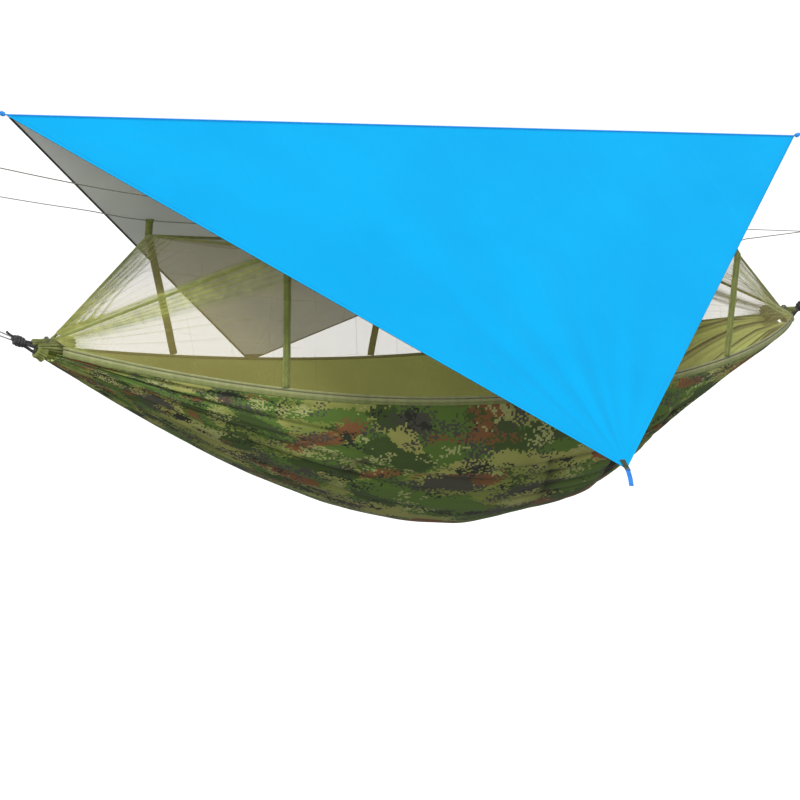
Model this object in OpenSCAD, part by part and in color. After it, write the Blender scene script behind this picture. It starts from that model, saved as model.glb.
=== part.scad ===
// Camping hammock with a zipped mosquito net and a square rain tarp.
// Millimetres. The origin is the middle of the left carabiner's bow, where the tree strap holds it.
// +X runs to the right-hand carabiner, -Y is the side with the zip, and +Z is up.

/* [Hanging] */
// Distance along X between the two carabiners' bow centres
hang_span = 3290; // [3250:5:3340]
// Height of the right bow centre above the left one
hang_rise = 120; // [90:5:150]
// Slope of the left suspension cord below level, in degrees
left_slope = 21; // [18:0.5:24]
// Slope of the right suspension cord below level, in degrees
right_slope = 32.5; // [29:0.5:36]
// Distance along the cord from the left bow centre to the gathered cloth
left_run = 322; // [300:2:350]
// Distance along the cord from the right bow centre to the gathered cloth
right_run = 318; // [300:2:350]

/* [Bed] */
// Depth of the bed's lowest line below the line between its two gathers
bed_depth = 602; // [520:5:620]
// Place of the deepest point, measured from the left bow centre
low_x = 1691; // [1600:10:1750]
// The cloth bags out lower to the right of its lowest point
pouch_d = 70;
pouch_x = 2172;
pouch_w = 229;
// Largest half width of the opening between the rims
bed_half_w = 390; // [350:5:430]
// Sag of the near rim below the line between the gathers
near_sag = 165; // [140:5:180]
// Sag of the far rim below the line between the gathers
far_sag = 135; // [120:5:160]
// Radius of the bunched cloth at each end
gather_r = 22; // [18:1:26]
// Wall of the bed cloth as a solid
bed_wall = 2; // [1.5:0.5:3]
// Height of the folded hem along each rim
hem_h = 7; // [5:1:10]

/* [Net] */
// Wall of the net panels as solids
net_wall = 0.8; // [0.6:0.2:1.2]
// Width of the reinforcement tapes on the net
tape_w = 25; // [20:1:32]
// Diameter of the two cords that hold the net up
net_cord_d = 3; // [2.5:0.5:4]

/* [Tarp] */
// Length of each side of the square tarp
tarp_side = 2000; // [1900:10:2100]
// Height of the tarp's ridge above the left bow centre
ridge_z = 550; // [530:5:600]
// Place of the tarp's middle, measured from the left bow centre
tarp_mid_x = 1584; // [1560:2:1620]
// Slope of both wings below level, in degrees
wing_slope = 38.3; // [36:0.1:42]
// Wall of the coated tarp cloth as a solid
tarp_wall = 1.2; // [1:0.2:2]
// Width of the tarp's folded hem
tarp_hem_w = 14; // [10:1:20]

/* [Carabiners] */
// Inner radius of the bow and of the tip
bow_r = 13; // [11:0.5:15]
// Side of the square bar
bar = 8; // [7:0.5:9]
// Distance between the centres of the bow and the tip
bow_gap = 42; // [38:1:50]
// Radius of the gate's pivot pin
pin_r = 1.5; // [1.2:0.1:1.8]

/* [Zip] */
// Radius of the closed tooth coil
coil_r = 1.6; // [1.2:0.1:2]
// Place along X where the slider rests
slider_x = 2000; // [1990:5:2010]
// Length of the slider
slider_l = 14; // [11:1:16]
// Length of the hanging pull
pull_l = 32; // [24:1:40]

/* [Hidden] */
$fn = 48;

NEAR = -1;
FAR = 1;
olive = [0.55, 0.58, 0.33];
dark_olive = [0.28, 0.32, 0.18];
black = [0.07, 0.07, 0.07];
tarp_blue = [0.09, 0.68, 1];
steel = [0.62, 0.63, 0.65];

// ---- the two hanging points and the gathered ends of the bed ----
left_hang = [0, 0, 0];
right_hang = [hang_span, 0, hang_rise];
function along(side, d) = side < 0
    ? left_hang + d * [cos(left_slope), 0, -sin(left_slope)]
    : right_hang + d * [-cos(right_slope), 0, -sin(right_slope)];
left_end = along(-1, left_run);
right_end = along(1, right_run);
mid_x = (left_end.x + right_end.x) / 2;
half_l = (right_end.x - left_end.x) / 2;

// ---- the bed's curves ----
function lerp(a, b, t) = a + (b - a) * t;
function chord_z(x) = lerp(left_end.z, right_end.z, (x - left_end.x) / (2 * half_l));
function from_middle(x) = min(1, abs(x - mid_x) / half_l);
function from_low(x) = x < low_x ? (low_x - x) / (low_x - left_end.x) : (x - low_x) / (right_end.x - low_x);
function half_w(x) = gather_r + (bed_half_w - gather_r) * pow(1 - pow(from_middle(x), 3), 0.8);
function rim_z(side, x) = chord_z(x) - (side < 0 ? near_sag : far_sag) * (1 - pow(from_middle(x), 2));
function pouch(x) = pouch_d * exp(-pow((x - pouch_x) / pouch_w, 2));
function low_z(x) =
    let (left = x < low_x, share = pow(1 - pow(min(1, from_low(x)), left ? 1.61 : 1.79), left ? 1.06 : 1.78))
    min(chord_z(x) - gather_r - (bed_depth - gather_r) * share - pouch(x), rim_z(NEAR, x) - 20);
function rim(side, x, up = 0, out = 0) = [x, side * (half_w(x) + out), rim_z(side, x) + up];
// A point of the bed: v runs from -1 at the near rim to 1 at the far rim
function bed_point(x, v, inset = 0) =
    let (top = lerp(rim_z(NEAR, x), rim_z(FAR, x), (v + 1) / 2))
    [x, (half_w(x) - inset) * sin(90 * v), top - (top - low_z(x) - inset) * pow(max(0, cos(90 * v)), 0.85)];

// ---- solids made from two matching grids of points, and tubes along a route ----
module between(outer, inner) {
    nu = len(outer);
    nv = len(outer[0]);
    n = nu * nv;
    function id(k, i, j) = k * n + i * nv + j;
    points = concat([for (row = outer) for (p = row) p], [for (row = inner) for (p = row) p]);
    skin = [for (i = [0:nu - 2]) for (j = [0:nv - 2]) each [
        [id(0, i, j), id(0, i + 1, j), id(0, i + 1, j + 1)],
        [id(0, i, j), id(0, i + 1, j + 1), id(0, i, j + 1)],
        [id(1, i, j), id(1, i + 1, j + 1), id(1, i + 1, j)],
        [id(1, i, j), id(1, i, j + 1), id(1, i + 1, j + 1)]]];
    ends = [for (i = [0:nu - 2]) each [
        [id(0, i, 0), id(1, i, 0), id(1, i + 1, 0)], [id(0, i, 0), id(1, i + 1, 0), id(0, i + 1, 0)],
        [id(0, i, nv - 1), id(1, i + 1, nv - 1), id(1, i, nv - 1)],
        [id(0, i, nv - 1), id(0, i + 1, nv - 1), id(1, i + 1, nv - 1)]]];
    sides = [for (j = [0:nv - 2]) each [
        [id(0, 0, j), id(1, 0, j + 1), id(1, 0, j)], [id(0, 0, j), id(0, 0, j + 1), id(1, 0, j + 1)],
        [id(0, nu - 1, j), id(1, nu - 1, j), id(1, nu - 1, j + 1)],
        [id(0, nu - 1, j), id(1, nu - 1, j + 1), id(0, nu - 1, j + 1)]]];
    polyhedron(points, concat(skin, ends, sides), convexity = 6);
}
function unit(v) = v / norm(v);
function tangent(route, i) = unit(route[min(i + 1, len(route) - 1)] - route[max(i - 1, 0)]);
function ring(c, t, r, sides, square_to) =
    let (u = unit(cross(t, square_to)), w = cross(u, t))
    [for (k = [0:sides - 1]) c + r * (cos(360 * k / sides) * u + sin(360 * k / sides) * w)];
// The route runs square to the direction square_to, or close to it
module tube(route, r, sides = 8, square_to = [0, 1, 0]) {
    n = len(route);
    points = [for (i = [0:n - 1]) each ring(route[i], tangent(route, i), r, sides, square_to)];
    walls = [for (i = [0:n - 2]) for (k = [0:sides - 1])
        let (a = i * sides + k, b = i * sides + (k + 1) % sides)
        each [[a, b, b + sides], [a, b + sides, a + sides]]];
    caps = [[for (k = [sides - 1:-1:0]) k], [for (k = [0:sides - 1]) (n - 1) * sides + k]];
    polyhedron(points, concat(walls, caps), convexity = 6);
}

// ---- carabiners: local x runs from the bow to the tip, and the gate is on the upper side ----
module at_hang(side) {
    if (side < 0) rotate([0, left_slope, 0]) children();
    else translate(right_hang) mirror([1, 0, 0]) rotate([0, right_slope, 0]) children();
}
gate_z = bow_r + bar / 2;
pivot_x = bow_gap - 4;
nose_x = 6;
tongue = 3;
gate_gap = 0.4;
module at_pivot() { translate([pivot_x, 0, gate_z]) rotate([90, 0, 0]) children(); }
module half_ring(x, turn) {
    translate([x, 0, 0]) rotate([90, turn, 0]) difference() {
        cylinder(h = bar, r = bow_r + bar, center = true);
        cylinder(h = bar + 2, r = bow_r, center = true);
        translate([bow_r + bar, 0, 0]) cube([2 * (bow_r + bar), 60, bar + 2], center = true);
    }
}
module carabiner() {
    half_ring(0, 0);
    half_ring(bow_gap, 180);
    translate([0, -bar / 2, -bow_r - bar]) cube([bow_gap, bar, bar]);
    translate([0, -bar / 2, bow_r]) cube([nose_x - gate_gap, bar, bar]);
    difference() {
        translate([pivot_x - 4, -tongue / 2, bow_r + 0.8]) cube([bow_gap - pivot_x + 4, tongue, bar - 1.6]);
        at_pivot() cylinder(h = bar, r = pin_r, center = true);
    }
}
module gate() {
    difference() {
        union() {
            translate([nose_x, -bar / 2, bow_r]) cube([pivot_x - nose_x, bar, bar]);
            at_pivot() cylinder(h = bar, r = bar / 2 - 0.4, center = true);
        }
        translate([pivot_x - 6, -tongue / 2 - gate_gap, bow_r - 1]) cube([13, tongue + 2 * gate_gap, bar + 2]);
        at_pivot() cylinder(h = bar + 2, r = pin_r + 0.05, center = true);
        translate([nose_x + 4, 0, gate_z]) rotate([0, 90, 0]) cylinder(h = 20, r = 2.4);
    }
}
module left_carabiner() { color(steel) at_hang(-1) carabiner(); }
module right_carabiner() { color(steel) at_hang(1) carabiner(); }
module left_gate() { color(steel) at_hang(-1) gate(); }
module right_gate() { color(steel) at_hang(1) gate(); }
module gate_pin() { at_pivot() cylinder(h = bar, r = pin_r, center = true); }
module left_gate_pin() { color("silver") at_hang(-1) gate_pin(); }
module right_gate_pin() { color("silver") at_hang(1) gate_pin(); }
// The gate's return spring, drawn as the tube that its coils fill
module gate_spring() {
    translate([nose_x + 4.5, 0, gate_z]) rotate([0, 90, 0]) difference() {
        cylinder(h = 19, r = 2.2);
        translate([0, 0, -1]) cylinder(h = 21, r = 1.5);
    }
}
module left_gate_spring() { color("gray") at_hang(-1) gate_spring(); }
module right_gate_spring() { color("gray") at_hang(1) gate_spring(); }

// ---- suspension: a thin doubled cord round the carabiner's tip, a knot, and a thick rope to the cloth ----
tip_x = bow_gap + bow_r + bar / 2;
sling_r = 2;
knot_at = 252;
knot_r = 17;
loop_r = bar / 2 + 2 + sling_r;
function lift(side) = side < 0
    ? [sin(left_slope), 0, cos(left_slope)] : [-sin(right_slope), 0, cos(right_slope)];
function sling_point(side, p) = along(side, p[0]) + p[1] * (cos(p[2]) * lift(side) + sin(p[2]) * [0, 1, 0]);
// Distance along the cord, distance off its middle line, and the turn from above to the far side:
// the strands part sideways round the carabiner's tip and lie one above the other at the knot
strand = [[236, 4, 0], [200, 5, 0], [165, 6, 15], [130, 7, 35], [95, 8, 60], [tip_x + 12, loop_r, 80]];
tip_turn = [for (a = [0:30:180]) [tip_x - loop_r * sin(a), loop_r * cos(a), 90]];
sling_route = concat(strand, tip_turn,
    [for (i = [len(strand) - 1:-1:0]) [strand[i][0], -strand[i][1], strand[i][2]]]);
module sling_cord(side) { tube([for (p = sling_route) sling_point(side, p)], sling_r, 8, lift(side)); }
module left_sling_cord() { color("dimgray") sling_cord(-1); }
module right_sling_cord() { color("dimgray") sling_cord(1); }
module sling_knot(side) {
    translate(along(side, knot_at)) rotate([0, 90 + (side < 0 ? left_slope : -right_slope), 0])
        rotate_extrude() intersection() {
            circle(r = knot_r);
            translate([0, -knot_r + 1]) square([knot_r, 2 * knot_r - 2]);
        }
}
module left_sling_knot() { color(black) sling_knot(-1); }
module right_sling_knot() { color(black) sling_knot(1); }
rope_r = 4.5;
end_rope_route = [[270, 5], [285, 8], [298, 11], [309, 13.5]];
module end_rope(side) {
    run = side < 0 ? left_run : right_run;
    function stretched(d) = d > 280 ? d + run - left_run : d;
    for (m = [-1, 1])
        tube([for (p = end_rope_route) sling_point(side, [stretched(p[0]), m * p[1], 0])], rope_r, 10);
}
module left_end_rope() { color(black) end_rope(-1); }
module right_end_rope() { color(black) end_rope(1); }

// ---- the bed and its gathered ends ----
bed_gap = 26;
function bed_x(i, n) = let (t = i / n)
    left_end.x + bed_gap + (2 * half_l - 2 * bed_gap) * (t - 0.07 * sin(360 * t));
bed_rings = 34;
bed_strips = 14;
module bed() {
    function face(inset) = [for (i = [0:bed_rings]) [for (j = [0:bed_strips])
        bed_point(bed_x(i, bed_rings), 2 * j / bed_strips - 1, inset)]];
    color(olive) between(face(0), face(bed_wall));
}
// The bunched cloth: from the rope's channel to where the bed opens out
module gather(side) {
    c = side < 0 ? left_end : right_end;
    translate(c) rotate([0, side < 0 ? left_slope + 5 : 180 - right_slope - 5, 0])
        translate([-8, 0, side * 7]) rotate([0, 90, 0]) cylinder(h = 26, r = gather_r);
}
module left_gather() { color(olive) gather(-1); }
module right_gather() { color(olive) gather(1); }

// ---- rim hems and the zip along the near rim ----
hem_t = 3;
zip_tape_h = 9;
coil_up = hem_h + zip_tape_h + coil_r;
net_up = coil_up + 8;
far_net_up = hem_h + 1;
slide_travel = 120;
straight_from = slider_x - 15;
straight_to = slider_x + slide_travel + 25;
// Stations along a rim, with none inside the straight stretch that the slider runs on
function stations(from, to, step) = concat([for (x = [from:step:straight_from - 10]) x],
    [straight_from, straight_to], [for (x = [straight_to + 20:step:to]) x]);
// The band's far face comes first, so that it keeps facing outwards on both sides
module rim_band(side, low, high, t) {
    xs = stations(left_end.x + 40, right_end.x - 35, 62);
    between([for (x = xs) [rim(side, x, low, side * t / 2), rim(side, x, high, side * t / 2)]],
            [for (x = xs) [rim(side, x, low, -side * t / 2), rim(side, x, high, -side * t / 2)]]);
}
hem_gap = 1;
module near_rim_hem() { color(dark_olive) rim_band(NEAR, hem_gap, hem_h, hem_t); }
module far_rim_hem() { color(dark_olive) rim_band(FAR, hem_gap, hem_h, hem_t); }
module zip_tape() { color("dimgray") rim_band(NEAR, hem_h, hem_h + zip_tape_h, 1); }
module zip_coil() {
    xs = stations(left_end.x + 60, right_end.x - 50, 124);
    color("darkgray") tube([for (x = xs) rim(NEAR, x, coil_up)], coil_r);
}
// The slider rides on the coil's straight stretch, in axes that follow it
zip_a = rim(NEAR, straight_from, coil_up);
zip_b = rim(NEAR, straight_to, coil_up);
zip_way = unit(zip_b - zip_a);
slider_at = zip_a + zip_way * (slider_x - straight_from);
module on_zip() {
    translate(slider_at)
        rotate([0, -asin(zip_way.z), 0]) rotate([0, 0, atan2(zip_way.y, zip_way.x)]) children();
}
slider_t = 2 * coil_r + 5;
slider_top = 4.6;
pull_y = -slider_t / 2 - 1.9;
module zip_slider() {
    color("silver") on_zip() {
        difference() {
            translate([-slider_l / 2, -slider_t / 2, -7]) cube([slider_l, slider_t, 7 + slider_top]);
            translate([-slider_l, -coil_r - 0.6, -8]) cube([2 * slider_l, 2 * coil_r + 1.2, 8 + coil_r + 0.8]);
        }
        for (m = [-1, 1]) translate([m * 3.4 - 0.8, pull_y - 1.2, -1.4]) cube([1.6, 1.2 + 1.9, 2.8]);
        translate([-2.6, pull_y, 0]) rotate([0, 90, 0]) cylinder(h = 5.2, r = 0.9);
    }
}
module zip_pull() {
    color("silver") on_zip() difference() {
        union() {
            translate([-2.2, pull_y, 0]) rotate([0, 90, 0]) cylinder(h = 4.4, r = 1.75);
            translate([-2.2, pull_y - 0.6, -5]) cube([4.4, 1.2, 4]);
            translate([-3.5, pull_y - 0.6, -pull_l]) cube([7, 1.2, pull_l - 5]);
        }
        translate([-5, pull_y, 0]) rotate([0, 90, 0]) cylinder(h = 10, r = 0.97);
    }
}

// ---- the net: four top corners, with two side panels, two end panels and a top ----
near_left = [925, -290, 200];
near_right = [2565, -290, 187];
far_left = [802, 345, 178];
far_right = [2535, 345, 188];
net_left = left_end + [32, 0, 24];
net_right = right_end + [-30, 0, 24];
function upper_edge(l, r, x) = x < l.x ? lerp(net_left, l, (x - net_left.x) / (l.x - net_left.x))
    : x > r.x ? lerp(net_right, r, (net_right.x - x) / (net_right.x - r.x))
    : lerp(l, r, (x - l.x) / (r.x - l.x));
module side_net(side, l, r, up) {
    xs = concat([net_left.x + 14, 400, 520, 650], [l.x, 1100, 1400, 1700, 2000, 2300, r.x, 2680, 2800, 2910],
        [net_right.x - 14]);
    function at(x, t, out) =
        let (low = rim(side, x, up), high = upper_edge(l, r, x) + [0, side * 2, -3])
        lerp(low, [x, high.y, max(high.z, low.z + 4)], t) + [0, side * out, 0];
    steps = [0, 1 / 3, 2 / 3, 1];
    a = [for (x = xs) [for (t = steps) at(x, t, side < 0 ? 0 : net_wall)]];
    b = [for (x = xs) [for (t = steps) at(x, t, side < 0 ? net_wall : 0)]];
    between(a, b);
}
module near_net() { color(olive, 0.5) side_net(NEAR, near_left, near_right, net_up); }
module far_net() { color(olive, 0.5) side_net(FAR, far_left, far_right, far_net_up); }
module flat_net(corner) {
    steps = [0.01, 0.34, 0.67, 0.99];
    function at(u, v, up) = lerp(lerp(corner[0], corner[1], u), lerp(corner[3], corner[2], u), v) + [0, 0, up];
    function face(up) = [for (u = steps) [for (v = steps) at(u, v, up)]];
    between(face(0), face(net_wall));
}
module top_net() { color(olive, 0.5) flat_net([near_left, near_right, far_right, far_left]); }
module end_net(tip, near, far) {
    steps = [0.05, 0.3, 0.65, 0.985];
    across = [0.02, 0.34, 0.66, 0.98];
    function at(u, v, up) = lerp(lerp(tip, near, u), lerp(tip, far, u), v) + [0, 0, up + 3];
    function face(up) = [for (u = steps) [for (v = across) at(u, v, up)]];
    between(face(net_wall), face(0));
}
function across_middle(p) = [p.x, -p.y, p.z];
module left_net() {
    color(olive, 0.5) mirror([0, 1, 0]) end_net(net_left, across_middle(far_left), across_middle(near_left));
}
module right_net() { color(olive, 0.5) end_net(net_right, near_right, far_right); }
// Cord tie that bunches each end of the net
module net_tie(p) {
    translate(p + [0, 0, 2]) rotate([0, 90, 0]) rotate_extrude() translate([10, 0]) circle(r = 2.5);
}
module left_net_tie() { color(dark_olive) net_tie(net_left + [-12, 0, 0]); }
module right_net_tie() { color(dark_olive) net_tie(net_right + [12, 0, 0]); }

// ---- reinforcement tapes, each with a loop on top that the net cord passes through ----
tape_t = 1.2;
loop_in = 4;
function cord_at(side, x) = let (route = side < 0 ? near_cord_route : far_cord_route)
    let (k = [for (i = [0:len(route) - 2]) if (route[i].x <= x && x < route[i + 1].x) i][0])
    lerp(route[k], route[k + 1], (x - route[k].x) / (route[k + 1].x - route[k].x));
module tape(side, foot_x, top_x) {
    foot = rim(side, foot_x, side < 0 ? net_up : far_net_up, 3);
    c = cord_at(side, top_x);
    corner_y = side < 0 ? near_left.y : far_left.y;
    corner_z = upper_edge(side < 0 ? near_left : far_left, side < 0 ? near_right : far_right, top_x).z;
    shoulder = [top_x, corner_y + side * 5, corner_z];
    route = [foot, lerp(foot, shoulder, 0.5), shoulder, [c.x, c.y + side * 3, c.z - loop_in - 3]];
    function strip(out) = [for (p = route) [for (m = [-1, 1]) p + [m * tape_w / 2, side * out, 0]]];
    if (side < 0) between(strip(tape_t), strip(0));
    else between(strip(0), strip(tape_t));
    translate(c - [tape_w / 2, 0, 0]) rotate([0, 90, 0]) difference() {
        cylinder(h = tape_w, r = loop_in + tape_t);
        translate([0, 0, -1]) cylinder(h = tape_w + 2, r = loop_in);
    }
}
module near_left_tape() { color(dark_olive) tape(NEAR, 920, 930); }
module near_middle_tape() { color(dark_olive) tape(NEAR, 1700, 1700); }
module near_right_tape() { color(dark_olive) tape(NEAR, 2530, 2560); }
module far_left_tape() { color(dark_olive) tape(FAR, 905, 806); }
module far_middle_tape() { color(dark_olive) tape(FAR, 1640, 1670); }
module far_right_tape() { color(dark_olive) tape(FAR, 2450, 2530); }

// ---- the two taut cords that hold the net up, from their points along the way ----
near_cord_route = [[-20, -250, 432], [100, -250, 410], [230, -250, 387], [380, -250, 363],
    [570, -250, 338], [750, -250, 315], [930, -250, 296], [1300, -250, 275], [1740, -250, 260],
    [2160, -250, 246], [2560, -250, 228], [2640, -250, 233], [2840, -250, 254], [2900, -250, 262]];
far_cord_route = [[230, 345, 305], [310, 345, 292], [450, 345, 272], [590, 345, 254], [806, 345, 224],
    [1200, 345, 209], [1670, 345, 204], [2100, 345, 208], [2530, 345, 220], [2840, 345, 213], [3150, 345, 205],
    [3460, 345, 198]];
module near_net_cord() { color("dimgray") tube(near_cord_route, net_cord_d / 2); }
module far_net_cord() { color("dimgray") tube(far_cord_route, net_cord_d / 2); }
// A tied eye on each end of a net cord, for its peg or tree
eye_r = 12;
module cord_eye(p, way) {
    translate(p) rotate([0, way * 90, 0]) cylinder(h = 11, r = 4);
    translate(p + [way * (9 + eye_r), 0, 0]) rotate([90, 0, 0]) rotate_extrude() translate([eye_r, 0])
        circle(r = net_cord_d / 2);
}
module cord_eyes(route) {
    cord_eye(route[0], -1);
    cord_eye(route[len(route) - 1], 1);
}
module near_cord_loops() { color("dimgray") cord_eyes(near_cord_route); }
module far_cord_loops() { color("dimgray") cord_eyes(far_cord_route); }

// ---- the tarp: two triangular wings that meet at the ridge ----
half_ridge = tarp_side / sqrt(2);
seam_r = 2;
wing_in = seam_r + 0.6;
module ridge_seam() {
    color(tarp_blue) translate([tarp_mid_x - half_ridge, 0, ridge_z]) rotate([0, 90, 0])
        cylinder(h = 2 * half_ridge, r = seam_r);
}
// Lays a flat outline on a wing: its y runs down the slope from the ridge
module on_wing(side) {
    translate([tarp_mid_x, 0, ridge_z]) rotate([side < 0 ? wing_slope : -wing_slope, 0, 0])
        mirror([0, side < 0 ? 1 : 0, 0]) children();
}
module wing(side) {
    on_wing(side) translate([0, 0, -tarp_wall / 2]) linear_extrude(tarp_wall)
        polygon([[-half_ridge + wing_in + 3, wing_in], [half_ridge - wing_in - 3, wing_in],
            [0, half_ridge - 3]]);
}
module wing_hem(side) {
    on_wing(side) translate([0, 0, -tarp_wall / 2 - 1]) linear_extrude(1) difference() {
        polygon([[-half_ridge + 30, 25], [half_ridge - 30, 25], [0, half_ridge - 5]]);
        polygon([[-half_ridge + 30 + 1.414 * tarp_hem_w, 20], [half_ridge - 30 - 1.414 * tarp_hem_w, 20],
            [0, half_ridge - 5 - 1.414 * tarp_hem_w]]);
    }
}
module near_wing() { color(tarp_blue) wing(NEAR); }
module far_wing() { color(tarp_blue) wing(FAR); }
module near_wing_hem() { color(tarp_blue) wing_hem(NEAR); }
module far_wing_hem() { color(black) wing_hem(FAR); }
// Corner pieces at the wings' tips
module near_tip_webbing() {
    color(dark_olive) on_wing(NEAR) translate([-9, half_ridge - 36, tarp_wall / 2 + 0.1]) cube([18, 40, 1.4]);
}
module near_tip_tag() {
    color("dodgerblue") on_wing(NEAR) translate([0, half_ridge + 4.5, 0]) rotate([-25, 0, 0])
        translate([-8, 0, -0.8]) cube([16, 44, 1.6]);
}
module far_tip_patch() {
    color(black) on_wing(FAR) translate([0, 0, tarp_wall / 2 + 0.1]) linear_extrude(1.2)
        polygon([[-42, half_ridge - 48], [42, half_ridge - 48], [0, half_ridge - 6]]);
}
module far_tip_loop() {
    color(black) on_wing(FAR) translate([-6, half_ridge + 7, 0]) rotate([0, 90, 0]) difference() {
        cylinder(h = 12, r = 8);
        translate([0, 0, -1]) cylinder(h = 14, r = 6.6);
    }
}
// Blue webbing tied off at each end of the ridge
tie_l = 46;
module ridge_tie(side) {
    translate([tarp_mid_x + side * (half_ridge + 1), 0, ridge_z]) mirror([side < 0 ? 1 : 0, 0, 0]) {
        rotate([0, 70, 0]) translate([0, 0, 1]) cylinder(h = 14, r = 7);
        rotate([0, 70, 0]) translate([0, 0, 15]) cylinder(h = tie_l - 15, r = 4);
        rotate([0, 70, 0]) translate([0, 0, tie_l + 9]) rotate([90, 0, 0]) rotate_extrude()
            translate([10, 0]) circle(r = 2.5);
    }
}
module left_ridge_tie() { color(tarp_blue) ridge_tie(-1); }
module right_ridge_tie() { color(tarp_blue) ridge_tie(1); }

left_carabiner();
left_gate();
left_gate_pin();
left_gate_spring();
right_carabiner();
right_gate();
right_gate_pin();
right_gate_spring();
left_sling_cord();
right_sling_cord();
left_sling_knot();
right_sling_knot();
left_end_rope();
right_end_rope();
left_gather();
right_gather();
bed();
near_rim_hem();
far_rim_hem();
zip_tape();
zip_coil();
zip_slider();
zip_pull();
near_net();
far_net();
top_net();
left_net();
right_net();
left_net_tie();
right_net_tie();
near_left_tape();
near_middle_tape();
near_right_tape();
far_left_tape();
far_middle_tape();
far_right_tape();
near_net_cord();
far_net_cord();
near_cord_loops();
far_cord_loops();
ridge_seam();
near_wing();
far_wing();
near_wing_hem();
far_wing_hem();
near_tip_webbing();
near_tip_tag();
far_tip_patch();
far_tip_loop();
left_ridge_tie();
right_ridge_tie();
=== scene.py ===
# %% [markdown]
# # A camping hammock with a zipped net and a rain tarp
# The real thing is three soft goods hung in one place: a bed of thin printed cloth gathered at both ends,
# a sheer net sewn round its opening, and a square coated tarp folded over a ridge. The engineering model
# gives where each piece is. These cells dress it: every cloth becomes a fine curved sheet with the folds
# that its pull makes, and every cord, zip and carabiner gets its own finish.

# %% Load the frame
import math

import bmesh
import bpy
import numpy as np
from mathutils import Matrix, Vector, noise


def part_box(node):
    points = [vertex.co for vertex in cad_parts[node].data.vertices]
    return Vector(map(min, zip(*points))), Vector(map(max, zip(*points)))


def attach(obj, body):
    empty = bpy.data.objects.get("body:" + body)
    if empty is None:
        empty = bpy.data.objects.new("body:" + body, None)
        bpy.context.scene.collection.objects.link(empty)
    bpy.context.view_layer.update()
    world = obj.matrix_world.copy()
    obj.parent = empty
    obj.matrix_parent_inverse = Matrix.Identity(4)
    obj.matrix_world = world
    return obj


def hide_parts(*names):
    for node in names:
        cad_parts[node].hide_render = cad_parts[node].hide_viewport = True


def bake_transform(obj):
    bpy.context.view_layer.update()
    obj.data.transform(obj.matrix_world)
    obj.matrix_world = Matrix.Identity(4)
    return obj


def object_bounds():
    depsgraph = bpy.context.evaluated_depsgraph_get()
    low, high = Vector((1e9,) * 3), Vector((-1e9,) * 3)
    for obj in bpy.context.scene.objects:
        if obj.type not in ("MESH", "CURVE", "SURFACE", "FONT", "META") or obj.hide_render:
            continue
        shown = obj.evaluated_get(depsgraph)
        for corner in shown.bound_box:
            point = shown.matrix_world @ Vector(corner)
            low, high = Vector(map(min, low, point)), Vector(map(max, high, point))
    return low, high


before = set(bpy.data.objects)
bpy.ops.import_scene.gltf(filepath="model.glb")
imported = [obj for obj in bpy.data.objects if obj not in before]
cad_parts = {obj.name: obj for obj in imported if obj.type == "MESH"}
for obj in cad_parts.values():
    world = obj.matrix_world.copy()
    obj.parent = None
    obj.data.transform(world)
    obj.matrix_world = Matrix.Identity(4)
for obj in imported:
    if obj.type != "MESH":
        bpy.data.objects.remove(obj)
cad_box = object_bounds()

# %% [markdown]
# ## Camera
# The camera stands low and to the left, far off with a long lens, so that the ridge runs nearly level and
# both ends of the bed are in sight. It leans a few degrees, which is why level cords look tilted. Its
# direction is built from three turns, because that reads better than a matrix of nine numbers.

# %% Camera
camera_at = Vector((-3.0638, -7.4221, 0.9346))
yaw, pitch, roll = 0.553, -0.140, 0.054
forward = Vector((math.sin(yaw) * math.cos(pitch), math.cos(yaw) * math.cos(pitch), math.sin(pitch)))
level = Vector((math.cos(yaw), -math.sin(yaw), 0))
across = level * math.cos(roll) + level.cross(forward) * math.sin(roll)
camera = bpy.data.objects.new("camera", bpy.data.cameras.new("camera"))
camera.data.lens = 128.5
camera.data.sensor_width = 36
turned = Matrix((across, across.cross(forward), -forward)).transposed().to_4x4()
camera.matrix_world = Matrix.Translation(camera_at) @ turned
bpy.context.scene.collection.objects.link(camera)
bpy.context.scene.camera = camera
print("camera looks along", tuple(round(c, 3) for c in forward))

# %% [markdown]
# ## Sizes that the cloth follows
# The bed hangs between two gathered ends, and its rims, its lowest line and its width are smooth curves
# between them. They are the same curves as the engineering model's, in metres, so each sheet lands on the
# solid that it stands for. The net's four top corners and the two taut cords are listed points.

# %% Driving sizes
hang_span, hang_rise = 3.290, 0.120
left_slope, right_slope = math.radians(21), math.radians(32.5)
left_run, right_run = 0.322, 0.318
bed_depth, low_x, bed_half_w = 0.602, 1.691, 0.390
pouch_d, pouch_x, pouch_w = 0.070, 2.172, 0.229
least_trough = 0.020
near_sag, far_sag, gather_r = 0.165, 0.135, 0.022
hem_h, zip_tape_h, coil_r = 0.007, 0.009, 0.0016
coil_up = hem_h + zip_tape_h + coil_r
net_up, far_net_up = coil_up + 0.008, hem_h + 0.001
half_ridge, ridge_z, tarp_x = 2.0 / math.sqrt(2), 0.550, 1.584
wing_slope = math.radians(38.3)
NEAR, FAR = -1, 1
LEFT, RIGHT = -1, 1


def along(side, distance, above=0.0):
    """A point on a suspension cord, so far from its carabiner's bow and so far above its middle line."""
    slope = left_slope if side == LEFT else right_slope
    start = (0, 0, 0) if side == LEFT else (hang_span, 0, hang_rise)
    way = np.array((-side * math.cos(slope), 0, -math.sin(slope)))
    lift = np.array((-side * math.sin(slope), 0, math.cos(slope)))
    return np.array(start) + distance * way + above * lift


left_end, right_end = along(LEFT, left_run), along(RIGHT, right_run)
mid_x, half_l = (left_end[0] + right_end[0]) / 2, (right_end[0] - left_end[0]) / 2
print("gathers at", left_end.round(4), right_end.round(4))


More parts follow.
